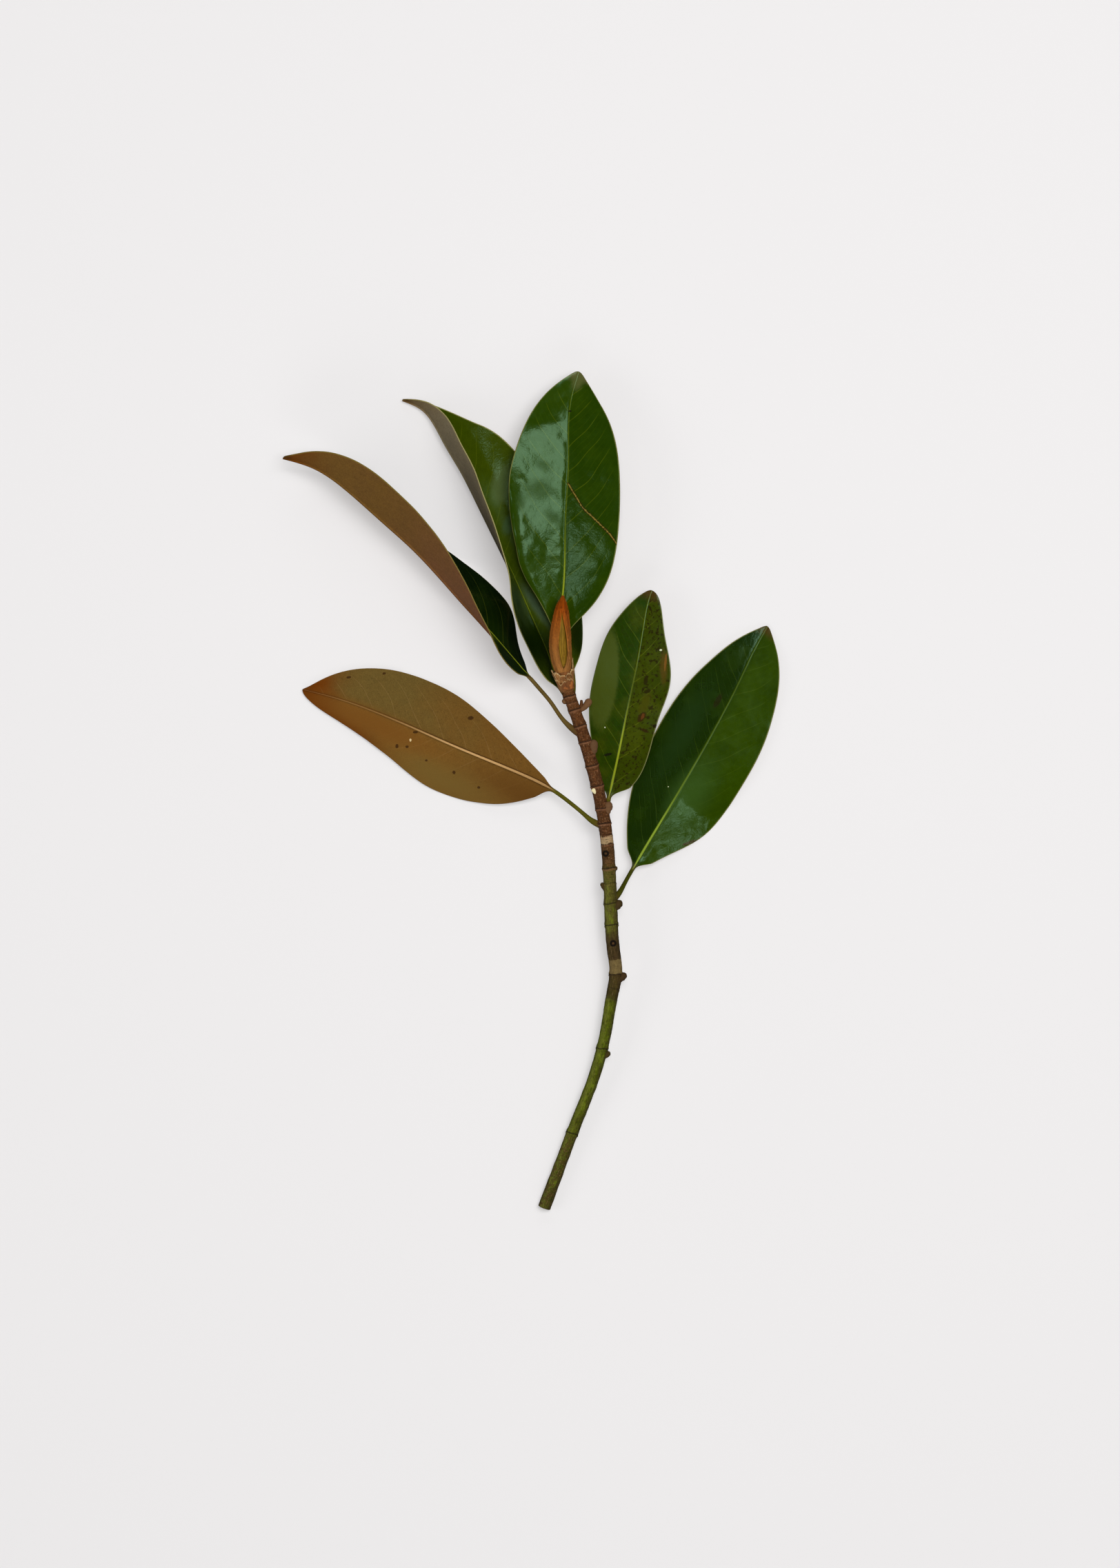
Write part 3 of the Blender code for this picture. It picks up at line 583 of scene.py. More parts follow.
def bell(distance, reach):
    """1 at no distance, falling off as a bell curve does."""
    return np.exp(-((distance / reach) ** 2))


def quarter_round(share):
    """A rise from 0 to 1 as a quarter circle has it."""
    return np.sqrt(1 - (1 - np.clip(share, 0.0, 1.0)) ** 2)


def value_noise(first, second, seed, around=64):
    """Smooth random values from -1 to 1: random numbers at whole places, blended by a smooth step.

    The pattern comes round again after the given number of whole steps of the first place.
    """
    table = np.random.default_rng(seed).uniform(-1.0, 1.0, (around, NOISE_COLUMNS))
    first, second = np.broadcast_arrays(first, second)
    row, column = np.floor(first).astype(int), np.floor(second).astype(int)
    down, over = smooth_step(first - row), smooth_step(second - column)
    corner = [[table[(row + i) % around, (column + j) % NOISE_COLUMNS] for j in (0, 1)] for i in (0, 1)]
    near = corner[0][0] * (1 - over) + corner[0][1] * over
    far = corner[1][0] * (1 - over) + corner[1][1] * over
    return near * (1 - down) + far * down


def skin_noise(turn, at, waves, step, seed):
    """Noise on a tube's skin, with a whole number of waves round it and one to each step along it."""
    return value_noise(turn / (2 * np.pi) * waves, at[:, None] / step, seed, waves)


def full_turn(sides):
    """Angles that part a circle evenly."""
    return np.linspace(0.0, 2 * np.pi, sides, endpoint=False)


def tube_rings(line, at, turn, radii):
    """Rings of places round a curve. radii holds a radius for each distance and turn."""
    centres, _, out = line.outwards(at[:, None], turn)
    return centres + out * radii[..., None]


def over_and_under(over, under):
    """Values of a sheet's upper and lower side, in the order of a ring round it."""
    return np.concatenate([over, under[:, -2:0:-1]], axis=1)


def ring_quads(rows, sides):
    """The numbers of the places on rings, those of their next ones round, and the quads between rings."""
    number = np.arange(rows * sides).reshape(rows, sides)
    following = np.roll(number, -1, axis=1)
    quads = np.stack([number[:-1], following[:-1], following[1:], number[1:]], axis=-1)
    return number, following, quads.reshape(-1, 4)


def closed_rings(rings, kept):
    """Vertices and faces of a closed body from rings of places, and what is kept with each vertex.

    Neighbouring rings are joined by quads, and each end is closed by a fan round the ring's middle.
    """
    rows, sides = rings.shape[:2]
    number, following, quads = ring_quads(rows, sides)
    first = np.stack([following[0], number[0], np.full(sides, rows * sides)], axis=1)
    last = np.stack([number[-1], following[-1], np.full(sides, rows * sides + 1)], axis=1)
    vertices = np.concatenate([rings.reshape(-1, 3), rings[:1].mean(axis=1), rings[-1:].mean(axis=1)])
    carried = {}
    for name, values in kept.items():
        values = np.broadcast_to(values, (rows, sides))
        carried[name] = np.concatenate([values.ravel(), [values[0].mean(), values[-1].mean()]])
    return vertices, [quads, first, last], carried


def facing_out(vertices, faces):
    """The faces, turned round if the closed body they make is inside out, told by the sign of its volume."""
    volume = 0.0
    for part in faces:
        a, b = vertices[part[:, 0]], vertices[part[:, 1]]
        for corner in range(2, part.shape[1]):
            c = vertices[part[:, corner]]
            volume += np.einsum("ij,ij->", a, np.cross(b, c))
            b = c
    return faces if volume > 0 else [part[:, ::-1] for part in faces]


def together(bodies):
    """Several closed bodies as the vertices, faces and kept values of one mesh."""
    vertices, faces, kept, count = [], [], {}, 0
    names = {name for body in bodies for name in body[2]}
    for places, parts, carried in bodies:
        vertices.append(places)
        faces += [part + count for part in facing_out(places, parts)]
        for name in names:
            kept.setdefault(name, []).append(carried.get(name, np.zeros(len(places))))
        count += len(places)
    return np.concatenate(vertices), faces, {name: np.concatenate(parts) for name, parts in kept.items()}


def add_object(name, data):
    """A new object in the scene, for a mesh, a light or a camera."""
    added = bpy.data.objects.new(name, data)
    bpy.context.scene.collection.objects.link(added)
    return added


def add_piece(name, bodies, material, replaced=()):
    """A smooth object at the origin, made of closed bodies in millimetres, that rides on the bunch."""
    vertices, faces, kept = together(bodies)
    mesh = bpy.data.meshes.new(name)
    mesh.vertices.add(len(vertices))
    mesh.vertices.foreach_set("co", (vertices * MM).astype(np.float32).ravel())
    corners = np.concatenate([part.ravel() for part in faces]).astype(np.int32)
    sizes = np.concatenate([np.full(len(part), part.shape[1]) for part in faces])
    mesh.loops.add(len(corners))
    mesh.loops.foreach_set("vertex_index", corners)
    mesh.polygons.add(len(sizes))
    mesh.polygons.foreach_set("loop_start", (np.cumsum(sizes) - sizes).astype(np.int32))
    mesh.update(calc_edges=True)
    for attribute, values in kept.items():
        added = mesh.attributes.new(attribute, "FLOAT", "POINT")
        added.data.foreach_set("value", values.astype(np.float32))
    mesh.shade_smooth()
    mesh.materials.append(material)
    piece = add_object(name, mesh)
    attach(piece, "root")
    if replaced:
        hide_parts(*replaced)


def maths(operation, other_first=False):
    """An operator of Shade, which adds a maths node for it."""

    def work(self, *other):
        values = (*other, self) if other_first else (self, *other)
        return self.paint.number(operation, *values)

    return work


class Shade:
    """A number, colour or vector in a node tree, so that shader maths is written as expressions."""

    def __init__(self, paint, socket):
        self.paint = paint
        self.socket = socket

    __add__ = maths("ADD")
    __radd__ = maths("ADD", True)
    __sub__ = maths("SUBTRACT")
    __rsub__ = maths("SUBTRACT", True)
    __mul__ = maths("MULTIPLY")
    __rmul__ = maths("MULTIPLY", True)
    __truediv__ = maths("DIVIDE")
    __pow__ = maths("POWER")
    __abs__ = maths("ABSOLUTE")


class Paint:
    """One material and its node tree."""

    def __init__(self, name):
        self.material = bpy.data.materials.new(name)
        self.material.use_nodes = True
        self.tree = self.material.node_tree
        self.shader = self.tree.nodes["Principled BSDF"]
        self.metres = self.node("ShaderNodeTexCoord", {}, {}, "Object")

    def node(self, kind, settings, inputs, output=0):
        """Adds a node: its settings first, where stops are a colour ramp's, then its sockets."""
        added = self.tree.nodes.new(kind)
        for name, value in settings.items():
            if name == "stops":
                self.set_stops(added.color_ramp, value)
            else:
                setattr(added, name, value)
        for name, value in inputs.items():
            self.join(added.inputs[name], value)
        return Shade(self, added.outputs[output])

    def set_stops(self, ramp, stops):
        while len(ramp.elements) < len(stops):
            ramp.elements.new(1.0)
        for element, (place, colour) in zip(ramp.elements, stops):
            element.position = place
            element.color = colour

    def join(self, socket, value):
        if isinstance(value, Shade):
            self.tree.links.new(value.socket, socket)
        else:
            socket.default_value = value

    def number(self, operation, *values):
        return self.node("ShaderNodeMath", {"operation": operation}, dict(enumerate(values)))

    def read(self, name):
        """A value that the mesh keeps with its places."""
        return self.node("ShaderNodeAttribute", {"attribute_name": name}, {}, "Fac")

    def rise(self, value, low, high):
        """0 below low, 1 above high and a smooth rise between them."""
        settings = {"interpolation_type": "SMOOTHSTEP"}
        return self.node("ShaderNodeMapRange", settings, {"Value": value, "From Min": low, "From Max": high})

    def fall(self, value, low, high):
        """1 below low, 0 above high and a smooth fall between them."""
        return self.rise(value, high, low)

    def mix(self, first, second, share):
        """Two colours, blended by a share of the second."""
        return self.node("ShaderNodeMix", {"data_type": "RGBA"}, {"Factor": share, 6: first, 7: second}, 2)

    def layers(self, colour, *others):
        """A colour with others laid over it in turn, each by its share."""
        for other, share in others:
            colour = self.mix(colour, other, share)
        return colour

    def tint(self, colour, lightness):
        """A colour made lighter or darker by a number."""
        settings = {"data_type": "RGBA", "blend_type": "MULTIPLY"}
        grey = self.place(lightness, lightness, lightness)
        return self.node("ShaderNodeMix", settings, {"Factor": 1.0, 6: colour, 7: grey}, 2)

    def part(self, axis):
        """One of a place's coordinates, in millimetres."""
        return self.node("ShaderNodeSeparateXYZ", {}, {"Vector": self.metres}, axis) / MM

    def place(self, first, second, third=0.0):
        """A vector from three numbers, here in millimetres."""
        return self.node("ShaderNodeCombineXYZ", {}, {"X": first, "Y": second, "Z": third})

    def noise(self, place, size, detail=2.0, roughness=0.5):
        """Noise from about 0 to 1 whose patches have the given size, in the place's own unit."""
        inputs = {"Vector": place, "Scale": 1 / size, "Detail": detail, "Roughness": roughness}
        return self.node("ShaderNodeTexNoise", {}, inputs)

    def cracks(self, place, size):
        """The distance from the borders of random cells of the given size, in the place's own unit."""
        settings = {"feature": "DISTANCE_TO_EDGE"}
        return self.node("ShaderNodeTexVoronoi", settings, {"Vector": place, "Scale": 1 / size}) * size

    def finish(self, colour, roughness, height=None, gloss=0.2, tint=(1.0, 1.0, 1.0, 1.0), shader=None):
        """Joins what was worked out to the shader. height is the fine relief in millimetres."""
        shader = shader or self.shader
        self.join(shader.inputs["Base Color"], colour)
        self.join(shader.inputs["Roughness"], roughness)
        shader.inputs["Specular IOR Level"].default_value = gloss
        shader.inputs["Specular Tint"].default_value = tint
        if height is not None:
            bump = self.node("ShaderNodeBump", {}, {"Height": height, "Distance": MM})
            self.join(shader.inputs["Normal"], bump)
        return self.material

    def second_side(self, share):
        """A second shader, mixed with the first by its share."""
        second = self.tree.nodes.new("ShaderNodeBsdfPrincipled")
        inputs = {0: share, 1: Shade(self, self.shader.outputs[0]), 2: Shade(self, second.outputs[0])}
        mixed = self.node("ShaderNodeMixShader", {}, inputs)
        self.join(self.tree.nodes["Material Output"].inputs["Surface"], mixed)
        return second


def half_width(wing, along):
    """A wing's half-width. Between the stations it is a spline over an angle, which rounds both ends."""
    angles = np.arccos(1 - 2 * np.array((0.0,) + STATIONS + (1.0,)))
    widths = natural_spline(angles, (0.0,) + wing.halves + (0.0,), np.arccos(1 - 2 * along))
    return np.hypot(np.maximum(widths, 0.0), TIP_HALF_WIDTH)


def wing_offsets(leaf, wing, along, shares):
    """How far each share of a wing lies out from the midrib and up from it: its lean, added up outwards."""
    size, waves, start = leaf.ripple
    ripple = size * np.sin(2 * np.pi * (waves * along + start))
    lean = rounded_profile(wing.lean, along)[:, None] + ripple[:, None] * shares
    lean = lean + rounded_profile(wing.bow, along)[:, None] * shares**2
    lean = np.radians(lean + rounded_profile(wing.curl, along)[:, None] * shares**wing.curl_power)
    between = (lean[:, 1:] + lean[:, :-1]) / 2
    steps = half_width(wing, along)[:, None] * np.diff(shares)
    return [np.pad(np.cumsum(way(between) * steps, axis=1), ((0, 0), (1, 0))) for way in (np.cos, np.sin)]


def grid_normals(grid):
    """Unit normals of a grid of places."""
    normals = np.cross(np.gradient(grid, axis=1), np.gradient(grid, axis=0))
    return normals / np.linalg.norm(normals, axis=-1, keepdims=True)


def blade_noise(distance, across, size, seed):
    """Noise on a blade, in patches of the given size."""
    return value_noise(distance / size + NOISE_START, across / size + NOISE_START, seed)


def side_veins(leaf, distance, across, width):
    """How many side veins lie between the blade's base and a place, counted along the veins' own curves.

    A vein that starts at distance s from the base has reached distance s + w (slope q + sweep q^3) where it
    is a share q of the half-width w out from the midrib. Noise makes it wander.
    """
    share = np.abs(across) / width
    reach = width * (VEIN_SLOPE * share + VEIN_SWEEP * share**3)
    wander = blade_noise(distance, across, VEIN_WANDER_SIZE, leaf.seed + 1)
    return (distance - reach) / VEIN_SPACING + RIGHT_VEINS_LATER * (across > 0) + VEIN_WOBBLE * wander


def blade_relief(leaf, distance, across, width, margin, veins):
    """How far a blade's places stand out towards its upper side.

    It swells between the side veins, is grooved along them, and is crinkled by noise of two sizes.
    """
    share = np.abs(across) / width
    away = smooth_step(np.abs(across), 0.5, 5.0) * smooth_step(margin, 0.0, 5.0)
    nearest = np.abs(veins - np.rint(veins))
    swelling = QUILTING * (np.sin(np.pi * veins) ** 2 - 0.5) * away
    groove = VEIN_GROOVE * bell(nearest * VEIN_SPACING, VEIN_GROOVE_REACH) * (1 - share) * away
    crinkle = np.where(across < 0, leaf.left.crinkle, leaf.right.crinkle)
    broad = blade_noise(distance, across, CRINKLE_SIZE, leaf.seed + 2)
    fine = blade_noise(distance, across, FINE_CRINKLE_SIZE, leaf.seed + 3)
    wave = value_noise(distance / EDGE_WAVE_SIZE + NOISE_START, np.sign(across) * 3, leaf.seed + 4)
    rough = crinkle * (broad + FINE_CRINKLE * fine) * smooth_step(np.abs(across), 0.3, 4.0)
    return swelling - groove + rough + EDGE_WAVE * wave * share**4 * smooth_step(distance, 5.0, 30.0)


def leaf_body(leaf):
    """A leaf as one closed body from its petiole's foot to its tip.

    A ring on the petiole is a circle. On the blade it runs over the upper side from the left edge to the
    right one and back under it, half the thickness away from the middle surface, which the wings' leans give.
    The thickness is rounded off at the edge as a quarter circle is. The midrib is a hump below and a low
    ridge in a shallow crease above. Over the blade's first millimetres circle and blade are blended.
    """
    line = Curve(leaf.petiole + leaf.midrib)
    base = line.knots[len(leaf.petiole)]
    length = line.length - base
    stem = np.linspace(-base, 0.0, PETIOLE_ROWS, endpoint=False)
    distance = np.concatenate([stem, crowded(BLADE_ROWS, ROW_CROWDING) * length])
    along = np.clip(distance / length, 0.0, 1.0)
    middle, ahead = line.read(base + distance)
    right, up = level_axes(ahead)
    side_up = -1.0 if leaf.underside_up else 1.0
    up = up * side_up

    shares = crowded(HALF_COLUMNS + 1, COLUMN_CROWDING)
    column = np.concatenate([-shares[:0:-1], shares])
    halves, sides = [], []
    for wing, sign in ((leaf.left, -1.0), (leaf.right, 1.0)):
        out, rise = wing_offsets(leaf, wing, along, shares)
        aside = sign * out[..., None] * right[:, None]
        sides.append(middle[:, None] + aside + rise[..., None] * up[:, None])
        halves.append(half_width(wing, along)[:, None])
    grid = np.concatenate([sides[0][:, :0:-1], sides[1]], axis=1)
    width = np.where(column < 0, *halves)
    across = column * width
    margin = width - np.abs(across)
    reach = distance[:, None]

    normals = grid_normals(grid) * side_up
    veins = side_veins(leaf, reach, across, width)
    grid = grid + normals * blade_relief(leaf, reach, across, width, margin, veins)[..., None]
    grid[..., 2] = np.maximum(grid[..., 2], HALF_THICKNESS)
    half = HALF_THICKNESS * quarter_round(margin / EDGE_ROUNDING)
    rib_radius = (RIB_RADIUS + (RIB_TIP_RADIUS - RIB_RADIUS) * along**RIB_TAPER)[:, None]
    ridge = RIDGE_HEIGHT * hump(across, RIDGE_REACH * rib_radius + 0.2) * (1 - 0.5 * along[:, None])
    crease = CREASE_DEPTH * hump(across, CREASE_REACH)
    rib = (RIB_DEPTH + rib_radius - HALF_THICKNESS) * hump(across, RIB_FOOT * rib_radius)
    over = grid + normals * (half + ridge - crease)[..., None]
    beneath = grid - normals * (half + rib + 0.5 * crease)[..., None]

    lean = rounded_profile(leaf.left.lean, along) - rounded_profile(leaf.right.lean, along)
    turn = np.radians(lean)[:, None] / 2
    stem_up = np.cos(turn) * up + np.sin(turn) * right
    stem_right = np.cos(turn) * right - np.sin(turn) * up
    centre = middle - stem_up * RIB_DEPTH * np.clip(along / RIB_SINKS_BY, 0.0, 1.0)[:, None]
    foot = 1 + PETIOLE_FOOT * bell(distance + base, PETIOLE_FOOT_LENGTH)
    radius = (PETIOLE_RADIUS * foot)[:, None, None]
    angle = np.pi / 2 * (1 - column)[:, None]
    sideways = centre[:, None] + radius * np.cos(angle) * stem_right[:, None]
    upwards = radius * np.sin(angle) * stem_up[:, None]
    blend = smooth_step(distance, 0.0, BLADE_BLEND)[:, None, None]
    over = blend * over + (1 - blend) * (sideways + upwards)
    beneath = blend * beneath + (1 - blend) * (sideways - upwards)

    rings = over_and_under(over, beneath)
    rings[..., 2] = np.maximum(rings[..., 2], 0.0)
    under = over_and_under(np.zeros_like(across), np.ones_like(across))
    under[:, [0, len(column) - 1]] = 0.5
    kept = {"along": reach, "under": under, "foot": bell(reach + base, FOOT_COLOUR_REACH)}
    for name, values in (("across", across), ("margin", margin), ("veins", veins)):
        kept[name] = over_and_under(values, values)
    return closed_rings(rings, kept), length


def spot_mask(paint, spot, across, up, ragged):
    """1 inside a spot's ellipse and 0 outside, with a ragged border."""
    cos, sin = math.cos(math.radians(spot.turn)), math.sin(math.radians(spot.turn))
    aside, ahead = across - spot.x, up - spot.y
    first = (aside * cos + ahead * sin) / spot.half_length
    second = (ahead * cos - aside * sin) / spot.half_width
    distance = (first * first + second * second) ** 0.5 + ragged * (1.6 / (1.6 + spot.half_width))
    return paint.fall(distance, 0.95 - spot.soft, 0.95 + spot.soft)


def crack_distance(paint, points, across, up):
    """How far a place lies from a bent line, seen from above: the least of the distances from its parts."""
    nearest = 100.0
    for start, end in zip(points, points[1:]):
        run, climb = end[0] - start[0], end[1] - start[1]
        aside, ahead = across - start[0], up - start[1]
        share = (aside * run + ahead * climb) / (run * run + climb * climb)
        share = paint.number("MINIMUM", paint.number("MAXIMUM", share, 0.0), 1.0)
        first, second = aside - share * run, ahead - share * climb
        nearest = paint.number("MINIMUM", (first * first + second * second) ** 0.5, nearest)
    return nearest


def leaf_paint(leaf, length):
    """A leaf's waxy green upper side and its matt felted underside, with midrib, veins, edge, marks, and
    painted sheen and shadow.
    """
    paint = Paint(leaf.name)
    along, across, margin, veins, under = map(paint.read, ("along", "across", "margin", "veins", "under"))
    flat = paint.place(along, across, float(leaf.seed))
    world_x, world_y = paint.part("X"), paint.part("Y")

    patches = paint.noise(flat, 16.0, 3.0)
    mottle = paint.noise(flat, 3.0, 3.0)
    grain = paint.noise(flat, 0.55)
    net = paint.cracks(flat, 2.3)
    fine_net = paint.cracks(flat, 0.95)
    offside = abs(across)
    share = along / length
    rib = paint.fall(offside / (0.76 - 0.5 * share), 0.5, 1.1)
    lower_rib = paint.fall(offside / (0.36 - 0.22 * share), 0.5, 1.1)
    rib_shadow = paint.fall(abs(across - 1.05 + 0.6 * share), 0.1, 0.6)
    vein = paint.fall(paint.number("PINGPONG", veins, 0.5) * VEIN_SPACING, 0.1, 0.42)
    minor = paint.fall(paint.number("PINGPONG", veins * 3, 0.5) * VEIN_SPACING, 0.1, 0.75)
    vein = paint.number("MAXIMUM", vein, 0.3 * minor) * paint.rise(margin, 1.0, 9.0)
    vein = vein * (0.4 + 0.8 * mottle)
    half = paint.rise(across, -2.0, 2.0)
    edge = paint.fall(margin + mottle * 0.3, 0.35, 0.9)
    tip = paint.rise(along + mottle * 3, length - 6.0, length)
    stem = paint.fall(along, -1.0, 5.0)
    ragged = (paint.noise(flat, 0.9) - 0.5) * 1.3
    patchy = paint.rise(patches, 0.4, 0.7) * 0.6

    green = paint.layers(leaf.left.upper, (leaf.right.upper, half), (leaf.upper_patch, patchy))
    dotted = paint.rise(paint.noise(flat, 1.7, 3.0, 0.7), 0.54, 0.6)
    dots = dotted * (leaf.speckles[0] + (leaf.speckles[1] - leaf.speckles[0]) * half)
    green = paint.layers(
        paint.tint(green, 0.82 + 0.36 * mottle + 0.06 * paint.fall(net, 0.0, 0.3)),
        (leaf.rib, vein * leaf.vein_strength),
        (ink(34, 26, 6), dots * 0.9),
        (leaf.edge, edge * 0.55),
        (leaf.tip, tip * 0.8),
        (leaf.rib, rib * (1 - 0.8 * paint.rise(share, leaf.rib_ends - 0.25, leaf.rib_ends))),
    )

    felt = paint.layers(
        leaf.left.lower,
        (leaf.right.lower, half),
        (leaf.lower_patch, patchy),
        (leaf.lower_base, paint.fall(share + 0.3 * patches, 0.35, 0.85)),
    )
    weave = paint.noise(paint.place(along * 0.8, across * 0.5), 0.9, 3.0, 0.7)
    felt = paint.layers(
        paint.tint(felt, 0.33 + 0.54 * grain + 0.3 * mottle + 0.5 * weave),
        (leaf.lower_tip, paint.rise(along + patches * 20, length * 0.86, length * 1.08)),
        (leaf.lower_rib, vein * 0.1),
        (leaf.edge, edge * 0.5),
        (leaf.tip, tip * 0.7),
        (ink(52, 34, 14), paint.rise(paint.noise(flat, 0.8, 2.0, 0.6), 0.62, 0.7) * 0.4),
        (ink(66, 40, 16), rib_shadow * 0.6),
        (leaf.lower_rib, lower_rib * (1 - 0.7 * paint.rise(share, 0.3, 0.8))),
    )

    if leaf.crack:
        distance = crack_distance(paint, leaf.crack, world_x, world_y) + ragged
        border = (ink(38, 30, 6), paint.fall(distance, 0.5, 0.95))
        green = paint.layers(green, border, (ink(122, 106, 44), paint.fall(distance, 0.1, 0.45)))
    spots = sorted((Spot(*row) for row in leaf.spots), key=lambda spot: -spot.half_length * spot.half_width)
    # Besides real marks, some spots are painted sheen, highlight and shadow.
    marks_and_painted_light = [(spot.colour, spot_mask(paint, spot, world_x, world_y, ragged) * 0.9) for spot in spots]
    if leaf.underside_up:
        felt = paint.layers(felt, *marks_and_painted_light)
    else:
        green = paint.layers(green, *marks_and_painted_light)
    streaks = paint.noise(paint.place(along * 0.15, across * 2.2), 1.0)
    stalk = paint.tint(leaf.petiole_colour, 0.5 + streaks)
    stalk = paint.mix(stalk, paint.tint(ink(84, 56, 30), 0.6 + 0.8 * mottle), paint.read("foot") * 0.8)

    leathery = 0.009 * paint.rise(net, 0.0, 0.5) + 0.005 * paint.rise(fine_net, 0.0, 0.3) + 0.045 * mottle
    felted = 0.09 * grain + 0.02 * paint.rise(net, 0.0, 0.4)
    below = paint.second_side(paint.number("MAXIMUM", under, stem))
    paint.finish(paint.mix(felt, stalk, stem), 0.8, felted, 0.05, shader=below)
    roughness = 0.09 + 0.13 * mottle
    for row in leaf.dull:
        roughness = roughness + spot_mask(paint, Spot(*row), world_x, world_y, ragged) * 0.17
    return paint.finish(green, roughness, leathery, 0.5, WAXY_SHEEN)


def twig_radius(places):
    """The twig's radius, which tapers to the bud and swells at each node."""
    share = travelled(places)
    radius = rounded_profile(TWIG_RADII, share / share[-1])
    for node in NODES_AT:
        radius = radius + NODE_SWELLING * bell(places[:, 1] - node, NODE_SPREAD)
    return radius


def twig_body():
    """The twig's stem: a tube whose radius has ring scars, each a groove below a low lip, and rough bark.

    Each ring wanders along the twig by noise round it. Behind the cut, rings of shrinking radius close it.
    """
    at = np.linspace(0.0, TWIG.length, TWIG_ROWS)
    turn = full_turn(TWIG_SIDES) - np.pi / 2
    centres, ahead = TWIG.read(at)
    step_round = turn / (2 * np.pi) * 12
    relief = 0.1 * skin_noise(turn, at, 24, 4.0, 21) + 0.07 * skin_noise(turn, at, 40, 1.1, 22)
    ring_marks, lips = np.zeros_like(relief), np.zeros_like(relief)
    strengths = [(y, 1.0) for y in NODES_AT] + [(y, FAINT_RING) for y in FAINT_RINGS_AT]
    for number, (y, strength) in enumerate(strengths):
        wave = RING_WAVE * value_noise(step_round / 2, number + 0.5, 23, 6)
        past = at[:, None] - TWIG.distance_at(y) - wave
        relief = relief - strength * RING_DEPTH * bell(past, RING_REACH)
        relief = relief + strength * RING_LIP * bell(past + RING_LIP_BEHIND, RING_LIP_REACH)
        ring_marks = np.maximum(ring_marks, strength * bell(past / RING_REACH, 1.5))
        lips = np.maximum(lips, strength * bell(past + PALE_LIP_BEHIND, RING_LIP_REACH))
    radii = twig_radius(centres)[:, None] + relief
    radii = radii - CUT_ROUNDING * (1 - quarter_round(at / CUT_ROUNDING)[:, None])
    rings = tube_rings(TWIG, at, turn, radii)
    inward = np.array(CUT_RINGS)[:, None, None]
    grain = 0.12 * value_noise(step_round[None], inward[..., 0] * 8, 24, 12)
    cut = centres[0] + (rings[0] - centres[0]) * inward + grain[..., None] * ahead[0]
    rings = np.concatenate([cut, rings])
    rings[..., 2] = np.maximum(rings[..., 2], 0.0)
    bare = ((len(inward), 0), (0, 0))
    kept = {
        "along": np.pad(at, (len(inward), 0))[:, None] / TWIG.length,
        "around": (turn + np.pi / 2) * BARK_RADIUS,
        "rings": np.pad(ring_marks, bare),
        "lips": np.pad(lips, bare),
        "cut": (np.arange(len(rings)) < len(inward))[:, None] * 1.0,
    }
    return closed_rings(rings, kept)


def limb_body(points, radii, seed, kept, rows=30):
    """A short rounded limb along a smooth line, such as a bud, knob or stub, with a slightly rough skin."""
    line = Curve(points)
    at = crowded(rows, 1.0) * line.length
    radius = natural_spline(line.knots, radii, at)
    left_over = np.minimum(at, line.length - at)
    ends = np.clip(left_over / np.minimum(radius, line.length / 2), 0.02, 1.0)
    radius = np.maximum(radius * quarter_round(ends), 0.03)
    turn = full_turn(LIMB_SIDES)
    skin = 1 + LIMB_ROUGHNESS * skin_noise(turn, at, 9, 0.8, seed)
    return closed_rings(tube_rings(line, at, turn, radius[:, None] * skin), kept)


@dataclass
class Knob:
    """A side bud or stub on the twig: its Y, degrees round it (0 right, 90 up), reach and radius.

    sweep is how far its tip leans along the twig, and pale how light it is.
    """

    y: float
    degrees: float
    reach: float
    radius: float
    sweep: float = 0.8
    pale: float = 0.0


KNOBS = (
    Knob(50.8, 185.0, 1.3, 1.4, 0.8, 0.4),
    Knob(24.6, 16.0, 1.7, 2.5, 2.6, 0.3),
    Knob(-8.4, 22.0, 1.9, 2.3, 2.2, 0.35),
    Knob(-17.0, 168.0, 0.9, 0.8),
    Knob(-42.0, 5.0, 0.9, 1.1),
    Knob(-51.4, 172.0, 1.3, 1.3, 1.8),
    Knob(-61.6, 12.0, 2.9, 2.3, 1.6),
    Knob(-100.8, 15.0, 2.5, 2.0, 1.6),
    Knob(-143.0, 10.0, 1.1, 1.5, 1.4),
)
# Round scars that buds left on the twig's upper side.
SCARS = ((40.6, -33.9, 1.9), (44.7, -83.1, 1.9))

# Pale bands of old scales, between one Y and another.
PALE_BANDS = ((-28.2, -24.2, ink(168, 142, 104)), (-99.6, -92.0, ink(112, 94, 56)))

STUB_NECK = ((24.6, 43.4, 21.6), (28.2, 45.6, 22.2), (31.4, 49.6, 23.0), (31.9, 50.9, 23.2))
STUB_NECK_RADII = (1.5, 1.35, 1.95, 1.6)
STUB_HORN = ((26.0, 44.6, 21.9), (27.2, 47.6, 22.4), (27.2, 50.2, 22.9))
STUB_HORN_RADII = (1.2, 0.95, 0.75)

# A pale three-cornered chip of peeled bark.
CHIP = ((33.5, 1.7, 22.0), (34.2, 0.4, 22.4), (34.9, -1.3, 22.5))
CHIP_RADII = (1.6, 1.2, 0.45)


